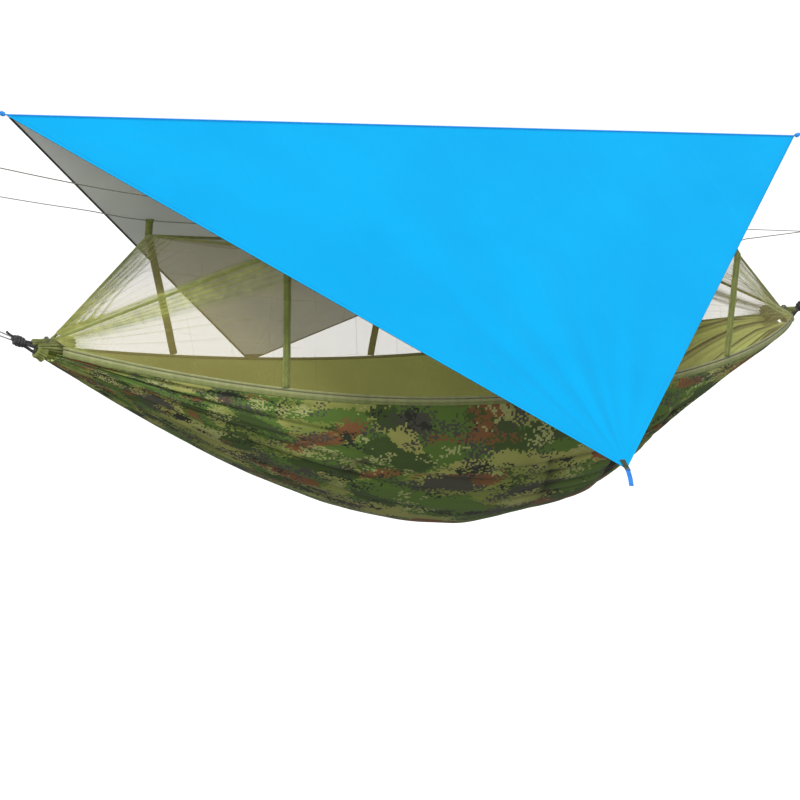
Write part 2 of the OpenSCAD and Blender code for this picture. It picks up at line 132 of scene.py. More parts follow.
# %% The bed's curves
def chord_z(x):
    return left_end[2] + (right_end[2] - left_end[2]) * (x - left_end[0]) / (2 * half_l)


def half_w(x):
    from_middle = np.minimum(1, abs(x - mid_x) / half_l)
    return gather_r + (bed_half_w - gather_r) * np.maximum(0, 1 - from_middle**3) ** 0.8


def rim_z(side, x):
    from_middle = np.minimum(1, abs(x - mid_x) / half_l)
    return chord_z(x) - (near_sag if side == NEAR else far_sag) * (1 - from_middle**2)


def low_z(x):
    on_left = x < low_x
    from_low = np.where(on_left, (low_x - x) / (low_x - left_end[0]), (x - low_x) / (right_end[0] - low_x))
    rise, ease = np.where(on_left, 1.61, 1.79), np.where(on_left, 1.06, 1.78)
    share = np.maximum(0, 1 - np.minimum(1, from_low) ** rise) ** ease
    pouch = pouch_d * np.exp(-(((x - pouch_x) / pouch_w) ** 2))
    hung = chord_z(x) - gather_r - (bed_depth - gather_r) * share - pouch
    return np.minimum(hung, rim_z(NEAR, x) - least_trough)


def bed_point(x, v):
    """A point of the bed: v runs from -1 at the near rim, under the sleeper, to 1 at the far rim."""
    top = rim_z(NEAR, x) + (rim_z(FAR, x) - rim_z(NEAR, x)) * (v + 1) / 2
    drop = np.maximum(0, np.cos(v * math.pi / 2)) ** 0.85
    return np.stack((x + 0 * v, half_w(x) * np.sin(v * math.pi / 2), top - (top - low_z(x)) * drop), -1)


def rim(side, x, up=0.0, out=0.0):
    """A point above a rim, as an array with one row for each x."""
    x = np.asarray(x, float)
    return np.stack((x, side * (half_w(x) + out), rim_z(side, x) + up), -1)


# %% [markdown]
# ## Shader sums as plain sums
# A pattern such as a print or a weave is a formula. Written as linked Math nodes it can't be read, so one
# small class wraps an output socket: + - * / on it add the Math nodes, and `node` makes any other node.

# %% A socket that does sums
class Signal:
    """One output of a finish's node tree. Sums on it, or with plain numbers, add Math nodes."""

    def __init__(self, tree, socket=None):
        self.tree, self.socket = tree, socket

    def node(self, kind, settings=None, inputs=None, output=0):
        """Any node: its settings come first, then a value or a link for each named or numbered input."""
        made = self.tree.nodes.new(kind)
        for name, value in (settings or {}).items():
            if name == "stops":
                while len(made.color_ramp.elements) < len(value):
                    made.color_ramp.elements.new(1)
                for element, (place, colour) in zip(made.color_ramp.elements, value):
                    element.position, element.color = place, (*colour, 1)
            else:
                setattr(made, name, value)
        for name, value in (inputs or {}).items():
            if isinstance(value, Signal):
                self.tree.links.new(value.socket, made.inputs[name])
            else:
                made.inputs[name].default_value = value
        return Signal(self.tree, made.outputs[output])

    def maths(self, operation, *others):
        """A Math node on this signal, and on a second one or a number if the operation takes two."""
        return self.node("ShaderNodeMath", {"operation": operation}, dict(enumerate((self, *others))))

    def __add__(self, other):
        return self.maths("ADD", other)

    def __sub__(self, other):
        return self.maths("SUBTRACT", other)

    def __rsub__(self, other):
        return self.node("ShaderNodeMath", {"operation": "SUBTRACT"}, {0: other, 1: self})

    def __mul__(self, other):
        return self.maths("MULTIPLY", other)

    __radd__, __rmul__ = __add__, __mul__

    def ramp_from(self, low, high):
        """0 below low, 1 above high, and smooth between them."""
        inputs = {0: self, 1: low, 2: high, 3: 0.0, 4: 1.0}
        return self.node("ShaderNodeMapRange", {"interpolation_type": "SMOOTHSTEP"}, inputs)

    def paint(self, below, above):
        """The colour below where this mask is 0, and the colour above where it is 1."""
        colours = {0: self}
        for place, colour in ((6, below), (7, above)):
            colours[place] = colour if isinstance(colour, Signal) else (*colour, 1)
        return self.node("ShaderNodeMix", {"data_type": "RGBA"}, colours, 2)

    def feed(self, node, name):
        self.tree.links.new(self.socket, node.inputs[name])


def linear(red, green, blue):
    """A colour as a paint chart gives it, 0 to 255, as the light values that a shader takes."""
    return tuple(
        ((c / 255 + 0.055) / 1.055) ** 2.4 if c > 10 else c / 255 / 12.92 for c in (red, green, blue)
    )


def new_finish(name, **constants):
    """A material with its Principled shader's plain values set, that shader, and an empty Signal."""
    finish = bpy.data.materials.new(name)
    finish.use_nodes = True
    shader = finish.node_tree.nodes["Principled BSDF"]
    for socket, value in constants.items():
        shader.inputs[socket.replace("_", " ")].default_value = value
    return finish, shader, Signal(finish.node_tree)


def bump(draw, shader, height, distance, strength=1.0):
    """Lets a height signal, 0 to 1, stand out of the surface by that distance in metres."""
    draw.node(
        "ShaderNodeBump", {}, {"Strength": strength, "Distance": distance, "Height": height}
    ).feed(shader, "Normal")


def flat_place(draw):
    """A piece's own cloth coordinates, in metres along and across it, and the two numbers apart."""
    place = draw.node("ShaderNodeUVMap", {"uv_map": "metres"})
    parts = place.node("ShaderNodeSeparateXYZ", {}, {0: place})
    return place, parts, Signal(draw.tree, parts.socket.node.outputs[1])


def spots(draw, place, scale, detail=2.0, shift=(0, 0, 0)):
    """Soft noise, 0 to 1, with patches about 1 / scale metres wide, moved by shift to give another draw."""
    moved = place.node("ShaderNodeVectorMath", {"operation": "ADD"}, {0: place, 1: shift})
    return draw.node("ShaderNodeTexNoise", {}, {"Vector": moved, "Scale": scale, "Detail": detail})


# %% [markdown]
# ## Mesh helpers
# Three shapes make almost everything here. A *sheet* is a grid of points with cloth coordinates in metres.
# A *sweep* carries an outline along a path, and makes cords, hems, webbing and rolled seams. A *fair path*
# is a smooth curve through a few chosen points, so that a cord has no corners.

# %% Sheets, sweeps and fair paths
def link_mesh(name, points, faces, places, finishes, smooth=True):
    """A mesh piece with its cloth coordinates, one per face corner, and its finishes."""
    mesh = bpy.data.meshes.new(name)
    mesh.from_pydata([tuple(p) for p in points], [], faces)
    layer = mesh.uv_layers.new(name="metres")
    layer.data.foreach_set("uv", np.asarray(places, np.float32).ravel())
    for finish in finishes:
        mesh.materials.append(finish)
    mesh.polygons.foreach_set("use_smooth", [smooth] * len(mesh.polygons))
    mesh.update()
    piece = bpy.data.objects.new(name, mesh)
    bpy.context.scene.collection.objects.link(piece)
    return piece


def sheet(name, grid, places, finishes, flip=False):
    """A sheet from a grid of points and its grid of cloth coordinates. It faces d/drow x d/dcolumn."""
    rows, columns = grid.shape[:2]
    index = np.arange(rows * columns).reshape(rows, columns)
    corners = [index[:-1, :-1], index[1:, :-1], index[1:, 1:], index[:-1, 1:]]
    faces = np.stack(corners[::-1] if flip else corners, -1).reshape(-1, 4)
    flat = places.reshape(-1, 2)
    return link_mesh(name, grid.reshape(-1, 3), faces.tolist(), flat[faces.ravel()], finishes)


def thicken(piece, thickness, material_offset=0):
    """Gives a sheet its thickness, inwards. The inner face takes the finish that many places on."""
    wall = piece.modifiers.new("cloth", "SOLIDIFY")
    wall.thickness, wall.offset, wall.material_offset = thickness, -1, material_offset


def unit(rows):
    return rows / np.linalg.norm(rows, axis=-1, keepdims=True)


def circled(angle, first, second):
    """Points on a unit circle at those angles, turned from the first direction towards the second."""
    return np.cos(angle)[..., None] * np.array(first) + np.sin(angle)[..., None] * np.array(second)


def straight(start, end, shares):
    """The points at those shares of the way from start to end."""
    return start + (end - start) * shares[:, None]


def sweep_parts(path, outline, up):
    """Points, faces and cloth coordinates of an outline carried along a path. The outline's two numbers
    run across and above, and it turns anticlockwise for someone looking along the path."""
    path, outline = np.asarray(path, float), np.asarray(outline, float)
    rows, sides = len(path), len(outline)
    ahead = unit(np.gradient(path, axis=0))
    side = unit(np.cross(ahead, np.broadcast_to(np.asarray(up, float), path.shape)))
    above = np.cross(side, ahead)
    points = path[:, None] + side[:, None] * outline[None, :, :1] + above[:, None] * outline[None, :, 1:]
    index = np.arange(rows * sides).reshape(rows, sides)
    turned = np.roll(index, -1, 1)
    walls = np.stack((index[:-1], index[1:], turned[1:], turned[:-1]), -1).reshape(-1, 4)
    edge = np.linalg.norm(np.roll(outline, -1, 0) - outline, axis=1)
    around = np.concatenate(([0], np.cumsum(edge)))
    run = np.concatenate(([0], np.cumsum(np.linalg.norm(np.diff(path, axis=0), axis=1))))
    low = np.meshgrid(run[:-1], around[:-1], indexing="ij")
    high = np.meshgrid(run[1:], around[1:], indexing="ij")
    corners_of = (low[0], low[1], high[0], low[1], high[0], high[1], low[0], high[1])
    wall_places = np.stack(corners_of, -1).reshape(-1, 2)
    faces = walls.tolist() + [list(range(sides)), list(range((rows - 1) * sides, rows * sides))[::-1]]
    places = np.concatenate((wall_places, np.zeros((2 * sides, 2))))
    return points.reshape(-1, 3), faces, places


def sweep(name, runs, finishes):
    """One piece made of several sweeps. Each run is (path, outline, up)."""
    points, faces, places, start = [], [], [], 0
    for path, outline, up in runs:
        more, walls, more_places = sweep_parts(path, outline, up)
        points.append(more)
        faces += [[k + start for k in wall] for wall in walls]
        places.append(more_places)
        start += len(more)
    return link_mesh(name, np.concatenate(points), faces, np.concatenate(places), finishes)


def round_outline(radius, sides=12):
    turns = [math.tau * k / sides for k in range(sides)]
    return [(radius * math.cos(turn), radius * math.sin(turn)) for turn in turns]


def band_outline(width, thickness):
    """A flat band's outline with rounded edges."""
    w, t = width / 2, thickness / 2
    c = 0.45 * min(w, t)
    return [
        (-w, -t + c), (-w + c, -t), (w - c, -t), (w, -t + c),
        (w, t - c), (w - c, t), (-w + c, t), (-w, t - c),
    ]


def fair_path(points, per_span=6):
    """A smooth curve through the points, with the same number of steps in each span."""
    p = np.asarray(points, float)
    p = np.concatenate(([2 * p[0] - p[1]], p, [2 * p[-1] - p[-2]]))
    out = []
    for a, b, c, d in zip(p[:-3], p[1:-2], p[2:-1], p[3:]):
        for t in np.arange(per_span) / per_span:
            curved = (2 * a - 5 * b + 4 * c - d) * t**2 + (3 * b - a - 3 * c + d) * t**3
            out.append(0.5 * (2 * b + (c - a) * t + curved))
    return np.array(out + [p[-2]])


def path_length(path):
    return float(np.linalg.norm(np.diff(path, axis=0), axis=1).sum())


def area_of(piece):
    return sum(face.area for face in piece.data.polygons)


def placed(piece, body, slot, *nodes):
    """Fixes a piece to its body and lets it stand for the CAD nodes given, if any. Its slot is not used."""
    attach(piece, body)
    if nodes:
        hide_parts(*nodes)
    return piece


# %% [markdown]
# ## Finishes
# Every finish is worked out from the real stuff: a printed cloth is five inks in square dots, a coated cloth
# is nearly flat with a faint weave, a net is mostly holes, a cord is a braid. Patterns follow the piece's
# own cloth coordinates in metres, so a fold carries its print with it.

# %% Printed cloth: square-dot leaf pattern
dot = 0.0055


def leaf_print(name, faded):
    """The bed's cloth. Inside, the print shows through pale and yellowish, so `faded` washes it out. Deep
    folds get a painted shade.
    """
    finish, shader, draw = new_finish(name, Sheen_Weight=0.04, Roughness=0.66, Specular_IOR_Level=0.3)
    place, along_cloth, across_cloth = flat_place(draw)
    cell = draw.node("ShaderNodeVectorMath", {"operation": "SNAP"}, {0: place, 1: (dot, dot, 1)})
    chance = draw.node("ShaderNodeTexWhiteNoise", {"noise_dimensions": "2D"}, {"Vector": cell}, "Value")
    jitter = chance - 0.5
    stretched = cell.node("ShaderNodeVectorMath", {"operation": "MULTIPLY"}, {0: cell, 1: (0.62, 1, 1)})

    def patch(scale, shift, cover, ragged):
        field = spots(draw, stretched, scale, 1.5, shift) + jitter * ragged
        return field.maths("GREATER_THAN", cover)

    ground = spots(draw, place, 5, 2, (3, 1, 0)).ramp_from(0.3, 0.7)
    sage = ground.paint(linear(106, 118, 52), linear(148, 148, 82))
    green = patch(6.5, (7, 2, 0), 0.50, 0.05).paint(sage, linear(78, 104, 40))
    forest = patch(8, (1, 9, 0), 0.56, 0.07).paint(green, linear(58, 76, 32))
    brown = patch(7.5, (4, 6, 0), 0.60, 0.09).paint(forest, linear(114, 76, 44))
    pale_dots = patch(11, (9, 9, 0), 0.65, 0.24).paint(brown, linear(146, 150, 96))
    grey = patch(9, (2, 4, 0), 0.60, 0.20).paint(pale_dots, linear(66, 66, 56))
    dark = patch(13, (5, 5, 0), 0.65, 0.15).paint(grey, linear(40, 44, 32))
    cloud = spots(draw, place, 3, 1).ramp_from(0.2, 0.8)
    washed = cloud.paint(linear(220, 234, 134), linear(236, 246, 148))
    mixed = draw.node("ShaderNodeMix", {"data_type": "RGBA"}, {0: faded, 6: dark, 7: washed}, 2)
    # Deep in a fold the colour darkens to a dark olive: painted shade in the creases.
    folds = draw.node("ShaderNodeAttribute", {"attribute_name": "fold"}, {}, "Fac")
    folds.ramp_from(0.25, 1.0).paint(mixed, linear(28, 33, 15)).feed(shader, "Base Color")
    weave = (along_cloth * 2600).maths("SINE") * (across_cloth * 2600).maths("SINE")
    creases = spots(draw, stretched, 60, 3)
    bump(draw, shader, weave * 0.1 + creases, 0.0012, 0.55)
    return finish


cloth_outside = leaf_print("printed_cloth_outside", 0.0)
cloth_inside = leaf_print("printed_cloth_inside", 0.70)


# %% Coated tarp cloth, and plain woven bindings
def coated(name, colour, fold_colour, roughness):
    """Tightly woven cloth with a thin coat: smooth, with a faint weave and the creases of its packing."""
    finish, shader, draw = new_finish(name, Specular_IOR_Level=0.08)
    place, along_cloth, across_cloth = flat_place(draw)
    fold = (along_cloth * 4.2 + spots(draw, place, 3, 1) * 0.12).maths("PINGPONG", 0.5)
    crease = fold.ramp_from(0.03, 0.0)
    cloud = spots(draw, place, 2.2, 3).ramp_from(0.3, 0.75)
    cloud.paint(colour, fold_colour).feed(shader, "Base Color")
    (spots(draw, place, 40, 2) * 0.12 + roughness).feed(shader, "Roughness")
    weave = (along_cloth * 3000).maths("SINE") * (across_cloth * 3000).maths("SINE")
    bump(draw, shader, weave * 0.03 + spots(draw, place, 14, 4) - crease * 0.4, 0.002, 0.35)
    return finish


def woven(name, colour, shade, pitch=0.0016, roughness=0.7):
    """Narrow webbing or binding: fine diagonal ribs with a painted soft shade between them."""
    finish, shader, draw = new_finish(name, Roughness=roughness, Sheen_Weight=0.1)
    place, along_cloth, across_cloth = flat_place(draw)
    turns = math.tau / pitch
    ribs = (along_cloth + across_cloth) * turns
    cross = (along_cloth - across_cloth) * turns
    relief = ribs.maths("SINE") * cross.maths("SINE")
    # Painted shade between the ribs, with random mottling from noise on top.
    rib_shade_and_mottle = (relief * 0.3 + spots(draw, place, 60, 2)).ramp_from(0.2, 0.85)
    rib_shade_and_mottle.paint(shade, colour).feed(shader, "Base Color")
    bump(draw, shader, relief * 0.5 + 0.5, 0.0004, 0.7)
    return finish


tarp_outside = coated("tarp_outside", linear(0, 148, 206), linear(0, 155, 212), 0.55)
tarp_lining = coated("tarp_lining", linear(236, 239, 242), linear(216, 220, 224), 0.6)
plain_cloth = coated("plain_cloth", linear(128, 134, 78), linear(104, 112, 60), 0.6)
tarp_seam = woven("tarp_seam", linear(12, 150, 240), linear(8, 120, 205), 0.003)
# Dark green: the near tip's real webbing, and a painted shadow line along the near wing's edge.
dark_webbing_and_edge_shadow = woven("dark_webbing_and_edge_shadow", linear(52, 66, 34), linear(30, 40, 22))
black_binding = woven("black_binding", linear(34, 34, 34), linear(16, 16, 16))
olive_binding = woven("olive_binding", linear(128, 136, 78), linear(98, 106, 56))
olive_tape = woven("olive_tape", linear(138, 146, 74), linear(104, 112, 52), 0.0024)
grey_tape = woven("grey_tape", linear(158, 160, 110), linear(130, 134, 88))
blue_tag = woven("blue_tag", linear(28, 140, 235), linear(16, 110, 200))


# %% Thread, cord, rope and metal
def braided(name, colour, shade, diameter, roughness=0.6):
    """Strands that cross round a cord, from two slanting waves on its own coordinates."""
    finish, shader, draw = new_finish(name, Roughness=roughness, Sheen_Weight=0.2)
    place, run, round_it = flat_place(draw)
    turns = math.tau / (math.pi * diameter)
    left = run * (turns * 1.1) + round_it * (turns * 4)
    right = run * (turns * 1.1) - round_it * (turns * 4)
    relief = left.maths("SINE") * right.maths("SINE") * 0.5 + 0.5
    relief.ramp_from(0.15, 0.7).paint(shade, colour).feed(shader, "Base Color")
    bump(draw, shader, relief, diameter * 0.09, 0.9)
    return finish


def metal(name, colour, scratch, roughness):
    """Bare or plated metal with brushed streaks and a few rubbed places."""
    finish, shader, draw = new_finish(name, Metallic=1.0)
    place = draw.node("ShaderNodeTexCoord", {}, {}, "Object")
    streak = place.node("ShaderNodeVectorMath", {"operation": "MULTIPLY"}, {0: place, 1: (1, 12, 1)})
    rub = spots(draw, streak, 120, 4)
    rub.ramp_from(0.3, 0.75).paint(colour, scratch).feed(shader, "Base Color")
    (rub * 0.25 + roughness).feed(shader, "Roughness")
    bump(draw, shader, rub, 0.0002, 0.3)
    return finish


steel = metal("steel", (0.50, 0.51, 0.53), (0.68, 0.68, 0.69), 0.22)
zip_metal = metal("zip_metal", (0.36, 0.36, 0.37), (0.62, 0.62, 0.62), 0.26)
black_rope = braided("black_rope", linear(46, 46, 48), linear(12, 12, 13), 0.009)
grey_cord = braided("grey_cord", linear(150, 150, 148), linear(104, 104, 102), 0.004)
olive_cord = braided("olive_cord", linear(92, 96, 76), linear(58, 62, 44), 0.003)
thin_grey_cord = braided("thin_grey_cord", linear(136, 140, 136), linear(96, 100, 96), 0.003)
olive_thread = woven("olive_thread", linear(160, 166, 104), linear(120, 126, 70), 0.001)
dark_thread = woven("dark_thread", linear(66, 76, 40), linear(40, 48, 24), 0.001)
blue_thread = woven("blue_thread", linear(8, 132, 220), linear(6, 104, 180), 0.001)
tooth_plastic = woven("tooth_plastic", linear(112, 114, 110), linear(84, 86, 82), 0.001, 0.4)
print(len(bpy.data.materials), "finishes")

# %% [markdown]
# ## Net
# The net's holes are a millimetre across, far too many to model, so the cloth is a sheet that lets most
# light through. Where it is bunched it turns nearly solid. That share is an attribute on the mesh, made
# with the pleats, so that the finish and the shape always agree.

# %% Net finish
fold_step = 0.135


def sheer(name, clear, packed):
    """Fine net: `clear` of it is thread where it lies single, and `packed` where it is bunched."""
    finish, shader, draw = new_finish(name, Roughness=0.75, Sheen_Weight=0.2, Specular_IOR_Level=0.2)
    place, run, rise = flat_place(draw)
    bunched = draw.node("ShaderNodeAttribute", {"attribute_name": "bunched"}, {}, "Fac")
    wander = spots(draw, place, 6, 1) * 0.25

    def crease(distance):
        steps = distance * (1 / fold_step) + wander
        return steps.maths("PINGPONG", 0.5).ramp_from(0.022, 0.0)

    lines = crease(run).maths("MAXIMUM", crease(rise)) * spots(draw, place, 9, 2).ramp_from(0.45, 0.6)
    holes = (run * 3100).maths("SINE") * (rise * 3100).maths("SINE") * 0.05
    solid = bunched * (packed - clear) + lines * 0.16 + holes + clear
    solid.maths("MINIMUM", 1.0).feed(shader, "Alpha")
    shade = spots(draw, place, 30, 3).ramp_from(0.3, 0.7).paint(linear(122, 126, 62), linear(154, 156, 84))
    bunched.ramp_from(0.02, 0.4).paint(linear(166, 152, 92), shade).feed(shader, "Base Color")
    bump(draw, shader, spots(draw, place, 90, 2), 0.001, 0.4)
    return finish


side_net_finish = sheer("side_net", 0.27, 0.92)
top_net_finish = sheer("top_net", 0.42, 0.92)
dark_net = woven("packed_net", linear(132, 136, 72), linear(84, 90, 46), 0.004)

# %% [markdown]
# ## Cords first
# Two taut cords hold the net up from pegs or trees outside. Each passes through the loops on the net's
# tapes, so it is three stretches: one guy at each end, which finishes in a tied eye, and the middle that
# carries the net. The bed hangs on doubled thin cord that turns round each carabiner's tip.

# %% Net cords
near_cord_points = [
    (-0.020, -0.250, 0.432), (0.100, -0.250, 0.410), (0.230, -0.250, 0.387), (0.380, -0.250, 0.363),
    (0.570, -0.250, 0.338), (0.750, -0.250, 0.315), (0.930, -0.250, 0.296), (1.300, -0.250, 0.275),
    (1.740, -0.250, 0.260), (2.160, -0.250, 0.246), (2.560, -0.250, 0.228), (2.640, -0.250, 0.233),
    (2.840, -0.250, 0.254), (2.900, -0.250, 0.262),
]
far_cord_points = [
    (0.230, 0.345, 0.305), (0.310, 0.345, 0.292), (0.450, 0.345, 0.272), (0.590, 0.345, 0.254),
    (0.806, 0.345, 0.224), (1.200, 0.345, 0.209), (1.670, 0.345, 0.204), (2.100, 0.345, 0.208),
    (2.530, 0.345, 0.220), (2.840, 0.345, 0.213), (3.150, 0.345, 0.205), (3.460, 0.345, 0.198),
]
net_cord_d = 0.003
eye_r = 0.012
per_span = 6


def tied_eye(name, end, way, finish):
    """A knot and an eye at a cord's end: three wraps, then a ring of the same cord."""
    end = np.array(end)
    turn = np.linspace(0, 3 * math.tau, 60)
    wraps = np.stack((way * np.linspace(0.001, 0.009, 60), 0.0024 * np.cos(turn), 0.0024 * np.sin(turn)), -1)
    angle = np.linspace(0, math.tau, 40)
    ring = np.stack((way * (0.009 + eye_r - eye_r * np.cos(angle)), 0 * angle, eye_r * np.sin(angle)), -1)
    cord = round_outline(net_cord_d / 2, 8)
    return sweep(name, [(end + wraps, cord, (1, 0, 0)), (end + ring, cord, (0, 1, 0))], [finish])


def net_cord(side_name, points, first_loop, last_loop, finish, slot):
    path = fair_path(points, per_span)
    left_loop, right_loop = first_loop * per_span, last_loop * per_span
    outline = round_outline(net_cord_d / 2, 8)
    left_eye = tied_eye(f"{side_name}_left_eye", points[0], -1, finish)
    right_eye = tied_eye(f"{side_name}_right_eye", points[-1], 1, finish)
    stretches = (
        ("left_guy", path[left_loop::-1], "knot", [left_eye]),
        ("middle", path[left_loop : right_loop + 1], "object", []),
        ("right_guy", path[right_loop:], "knot", [right_eye]),
    )
    for part, run, far_end, on_it in stretches:
        piece = sweep(f"{side_name}_cord_{part}", [(run, outline, (0, 1, 0))], [finish])
        placed(piece, "rigging", slot, f"{side_name}_net_cord")
    for eye in (left_eye, right_eye):
        placed(eye, "rigging", slot, f"{side_name}_cord_loops")


net_cord("near", near_cord_points, 6, 10, olive_cord, "dark_green_cord")
net_cord("far", far_cord_points, 4, 8, thin_grey_cord, "grey_cord")

# %% Sling cords, knots and end ropes
sling_r, rope_r = 0.002, 0.0045
tip_x = 0.042 + 0.013 + 0.004
loop_r = 0.004 + 0.002 + sling_r
strand = [
    (0.236, 0.004, 0), (0.200, 0.005, 0), (0.165, 0.006, 15), (0.130, 0.007, 35), (0.095, 0.008, 60),
    (tip_x + 0.012, loop_r, 80),
]
turn_back = [
    (tip_x - loop_r * math.sin(math.radians(a)), loop_r * math.cos(math.radians(a)), 90)
    for a in range(0, 181, 30)
]
sling_route = strand + turn_back + [(distance, -off, angle) for distance, off, angle in strand[::-1]]
knot_at = 0.252


def off_cord(side, distance, off, angle):
    """A point off a suspension cord's middle line, turned from above it towards the far side."""
    turn = math.radians(angle)
    return along(side, distance, off * math.cos(turn)) + np.array((0, off * math.sin(turn), 0))


for side, name in ((LEFT, "left"), (RIGHT, "right")):
    lift = along(side, 0, 1) - along(side, 0)
    run = fair_path([off_cord(side, *point) for point in sling_route], 5)
    piece = sweep(f"{name}_sling_cord_braid", [(run, round_outline(sling_r, 10), lift)], [grey_cord])
    placed(piece, "bed", "grey_cord", f"{name}_sling_cord")
    print(piece.name, "is", round(path_length(run), 3), "m long")

# %% [markdown]
# The thick black rope comes out of the cloth's channel in three strands and ends in a barrel knot, which
# the thin cord is tied through. A barrel knot is a few close turns round its own strands, so it is a helix
# of rope that swells in the middle, with a short tail left sticking out.

# %% Barrel knots and the rope to the cloth
knot_turns, knot_long, knot_core = 4, 0.036, 0.0075


def barrel_knot(side, name):
    lift = along(side, 0, 1) - along(side, 0)
    share = np.linspace(0, 1, 130)
    angle = share * knot_turns * math.tau
    radius = knot_core + 0.0045 * np.sin(share * math.pi) ** 0.7
    centre = np.array([along(side, knot_at - knot_long / 2 + knot_long * s) for s in share])
    wraps = centre + radius[:, None] * circled(angle, (0, 1, 0), lift)
    way = unit(along(side, 1) - along(side, 0))
    core = fair_path([along(side, knot_at + shift) for shift in (-0.024, 0, 0.024)], 4)
    tail_route = ((0, 0.002), (-0.02, 0.006), (-0.036, 0.009), (-0.046, 0.013))
    tail = fair_path([along(side, knot_at + shift, above) for shift, above in tail_route], 4)
    knot = sweep(f"{name}_barrel_knot", [
        (wraps, round_outline(rope_r, 10), way),
        (core, round_outline(rope_r * 1.2, 10), (0, 1, 0)),
        (tail, round_outline(rope_r * 0.8, 10), (0, 1, 0)),
    ], [black_rope])
    placed(knot, "bed", "black_rope", f"{name}_sling_knot")


def end_rope(side, name):
    longer = (left_run if side == LEFT else right_run) - left_run
    route = (
        (0.262, 0.003), (0.272, 0.006), (0.288, 0.009), (0.303 + longer, 0.012), (0.322 + longer, 0.0135),
    )
    runs = []
    for high, out in ((1, 0), (-1, 0), (0.1, -0.006)):
        points = [along(side, distance, spread * high) for distance, spread in route]
        points = [p + np.array((0, out * min(1, k / 2), 0)) for k, p in enumerate(points)]
        runs.append((fair_path(points, 5), round_outline(rope_r, 10), (0, 1, 0)))
    rope = sweep(f"{name}_channel_rope", runs, [black_rope])
    placed(rope, "bed", "black_rope", f"{name}_end_rope")


for side, name in ((LEFT, "left"), (RIGHT, "right")):
    barrel_knot(side, name)
    end_rope(side, name)
print("knots are", knot_long * 1000, "mm long")

# %% [markdown]
# ## The bed
# Thin nylon hangs in a trough and is drawn together at both ends, so folds start at each gather, run along
# the cloth and fade towards the middle. Cloth simulation would find them slowly and never twice the same.
# Here each fold is a formula: a narrow valley with one steep side, at its own place across the cloth, with
# its own depth and reach. Small ripples of noise, stretched along the cloth, lie between them.

# %% Folds of the bed
bed_rows, bed_columns = 210, 216
cloth_long, cloth_wide = 2.90, 1.34
cross_folds = ((2.13, 0.05, 0.022), (2.32, -0.10, 0.014), (1.86, 0.16, 0.009), (1.20, -0.2, 0.007))


def valley(distance, steep, gentle):
    """A fold's section: 1 in the crease, and falling away fast on one side and slowly on the other."""
    near_side, far_side = np.minimum(0, distance) / steep, np.maximum(0, distance) / gentle
    return np.where(distance < 0, np.exp(near_side), np.exp(-far_side))


def ripples(along_cloth, across_cloth, seed):
    """Smooth noise over the cloth, -1 to 1."""
    flat = zip(along_cloth.ravel(), across_cloth.ravel())
    return np.array([noise.noise(Vector((a, b, seed))) for a, b in flat]).reshape(along_cloth.shape)


def bed_folds(x, v):
    """How far the cloth stands in from its plain trough, in metres, at each point."""
    from_left, from_right = (x - left_end[0]) / (2 * half_l), (right_end[0] - x) / (2 * half_l)
    room = np.minimum(1, half_w(x) / 0.16)
    depth = np.zeros_like(x)
    for start, count, seed in ((from_left, 17, 0.13), (from_right, 15, 0.57)):
        for k in range(count):
            place = -1 + 2 * ((seed + 0.618 * k) % 1)
            reach = 0.30 + 0.42 * ((0.37 * k + seed) % 1)
            deep = 0.009 + 0.015 * ((0.71 * k + seed) % 1)
            lean = place + 0.10 * (start - 0.2) * math.sin(5 * k)
            fade = np.clip(1 - start / reach, 0, 1) ** 0.8
            depth += deep * fade * room * valley(v - lean, 0.009, 0.050 + 0.03 * start)
    near_flank = np.exp(-(((v + 0.62) / 0.3) ** 2))
    for at, tilt, deep in cross_folds:
        depth += deep * valley(x - at - tilt * (v + 0.7), 0.014, 0.06) * near_flank
    ends = np.clip(1 - np.minimum(from_left, from_right) / 0.45, 0, 1)
    depth += ripples(x * 2.2, v * 26, 1) * 0.0035 * ends * room
    depth += ripples(x * 5, v * 7, 2) * 0.0035 * room
    depth += ripples(x * 14, v * 16, 3) * 0.0014 * room
    return depth * np.clip((1 - abs(v)) / 0.05, 0, 1)


share = np.linspace(0, 1, bed_rows + 1)
bed_gap = 0.026
bed_x = left_end[0] + bed_gap + (2 * half_l - 2 * bed_gap) * (share - 0.07 * np.sin(math.tau * share))
grid_x, grid_v = np.meshgrid(bed_x, np.linspace(-1, 1, bed_columns + 1), indexing="ij")
plain = bed_point(grid_x, grid_v)
outward = unit(np.cross(np.gradient(plain, axis=1), np.gradient(plain, axis=0)))
outward *= np.sign((outward * (plain - plain.mean(axis=1, keepdims=True))).sum(axis=-1).mean())
folds = bed_folds(grid_x, grid_v)
folded = plain - outward * folds[..., None]
across_bed = np.linspace(0, cloth_wide, bed_columns + 1)
places = np.stack(np.meshgrid(share * cloth_long, across_bed, indexing="ij"), -1)
bed = sheet("bed_cloth", folded, places, [cloth_outside, cloth_inside], flip=True)
# How deep each point lies in its fold, 0 to 1. The printed cloth darkens its colour by it, a painted shade.
crease_shade = np.clip(folds / 0.019, 0, 1) ** 1.4
crease_shade_data = bed.data.attributes.new("fold", "FLOAT", "POINT").data
crease_shade_data.foreach_set("value", crease_shade.ravel().astype(np.float32))
print("bed cloth area", round(area_of(bed), 2), "m2, deepest fold", round(folds.max() * 1000, 1), "mm")

# %% Give the cloth its thickness
thicken(bed, 0.0012, 1)
placed(bed, "bed", "camo_cloth", "bed")
first = bed.data.polygons[bed_columns * 100 + bed_columns // 2]
print("the bottom faces", tuple(round(c, 2) for c in first.normal))

# %% [markdown]
# ## Stitches and teeth from one tree
# A seam is the same small stitch hundreds of times along a line, and so is a zip. Geometry Nodes put one
# small solid at every step of a curve and turn it along the curve. The same tree makes straight stitches,
# slanted ones and zip teeth: only its named inputs change.

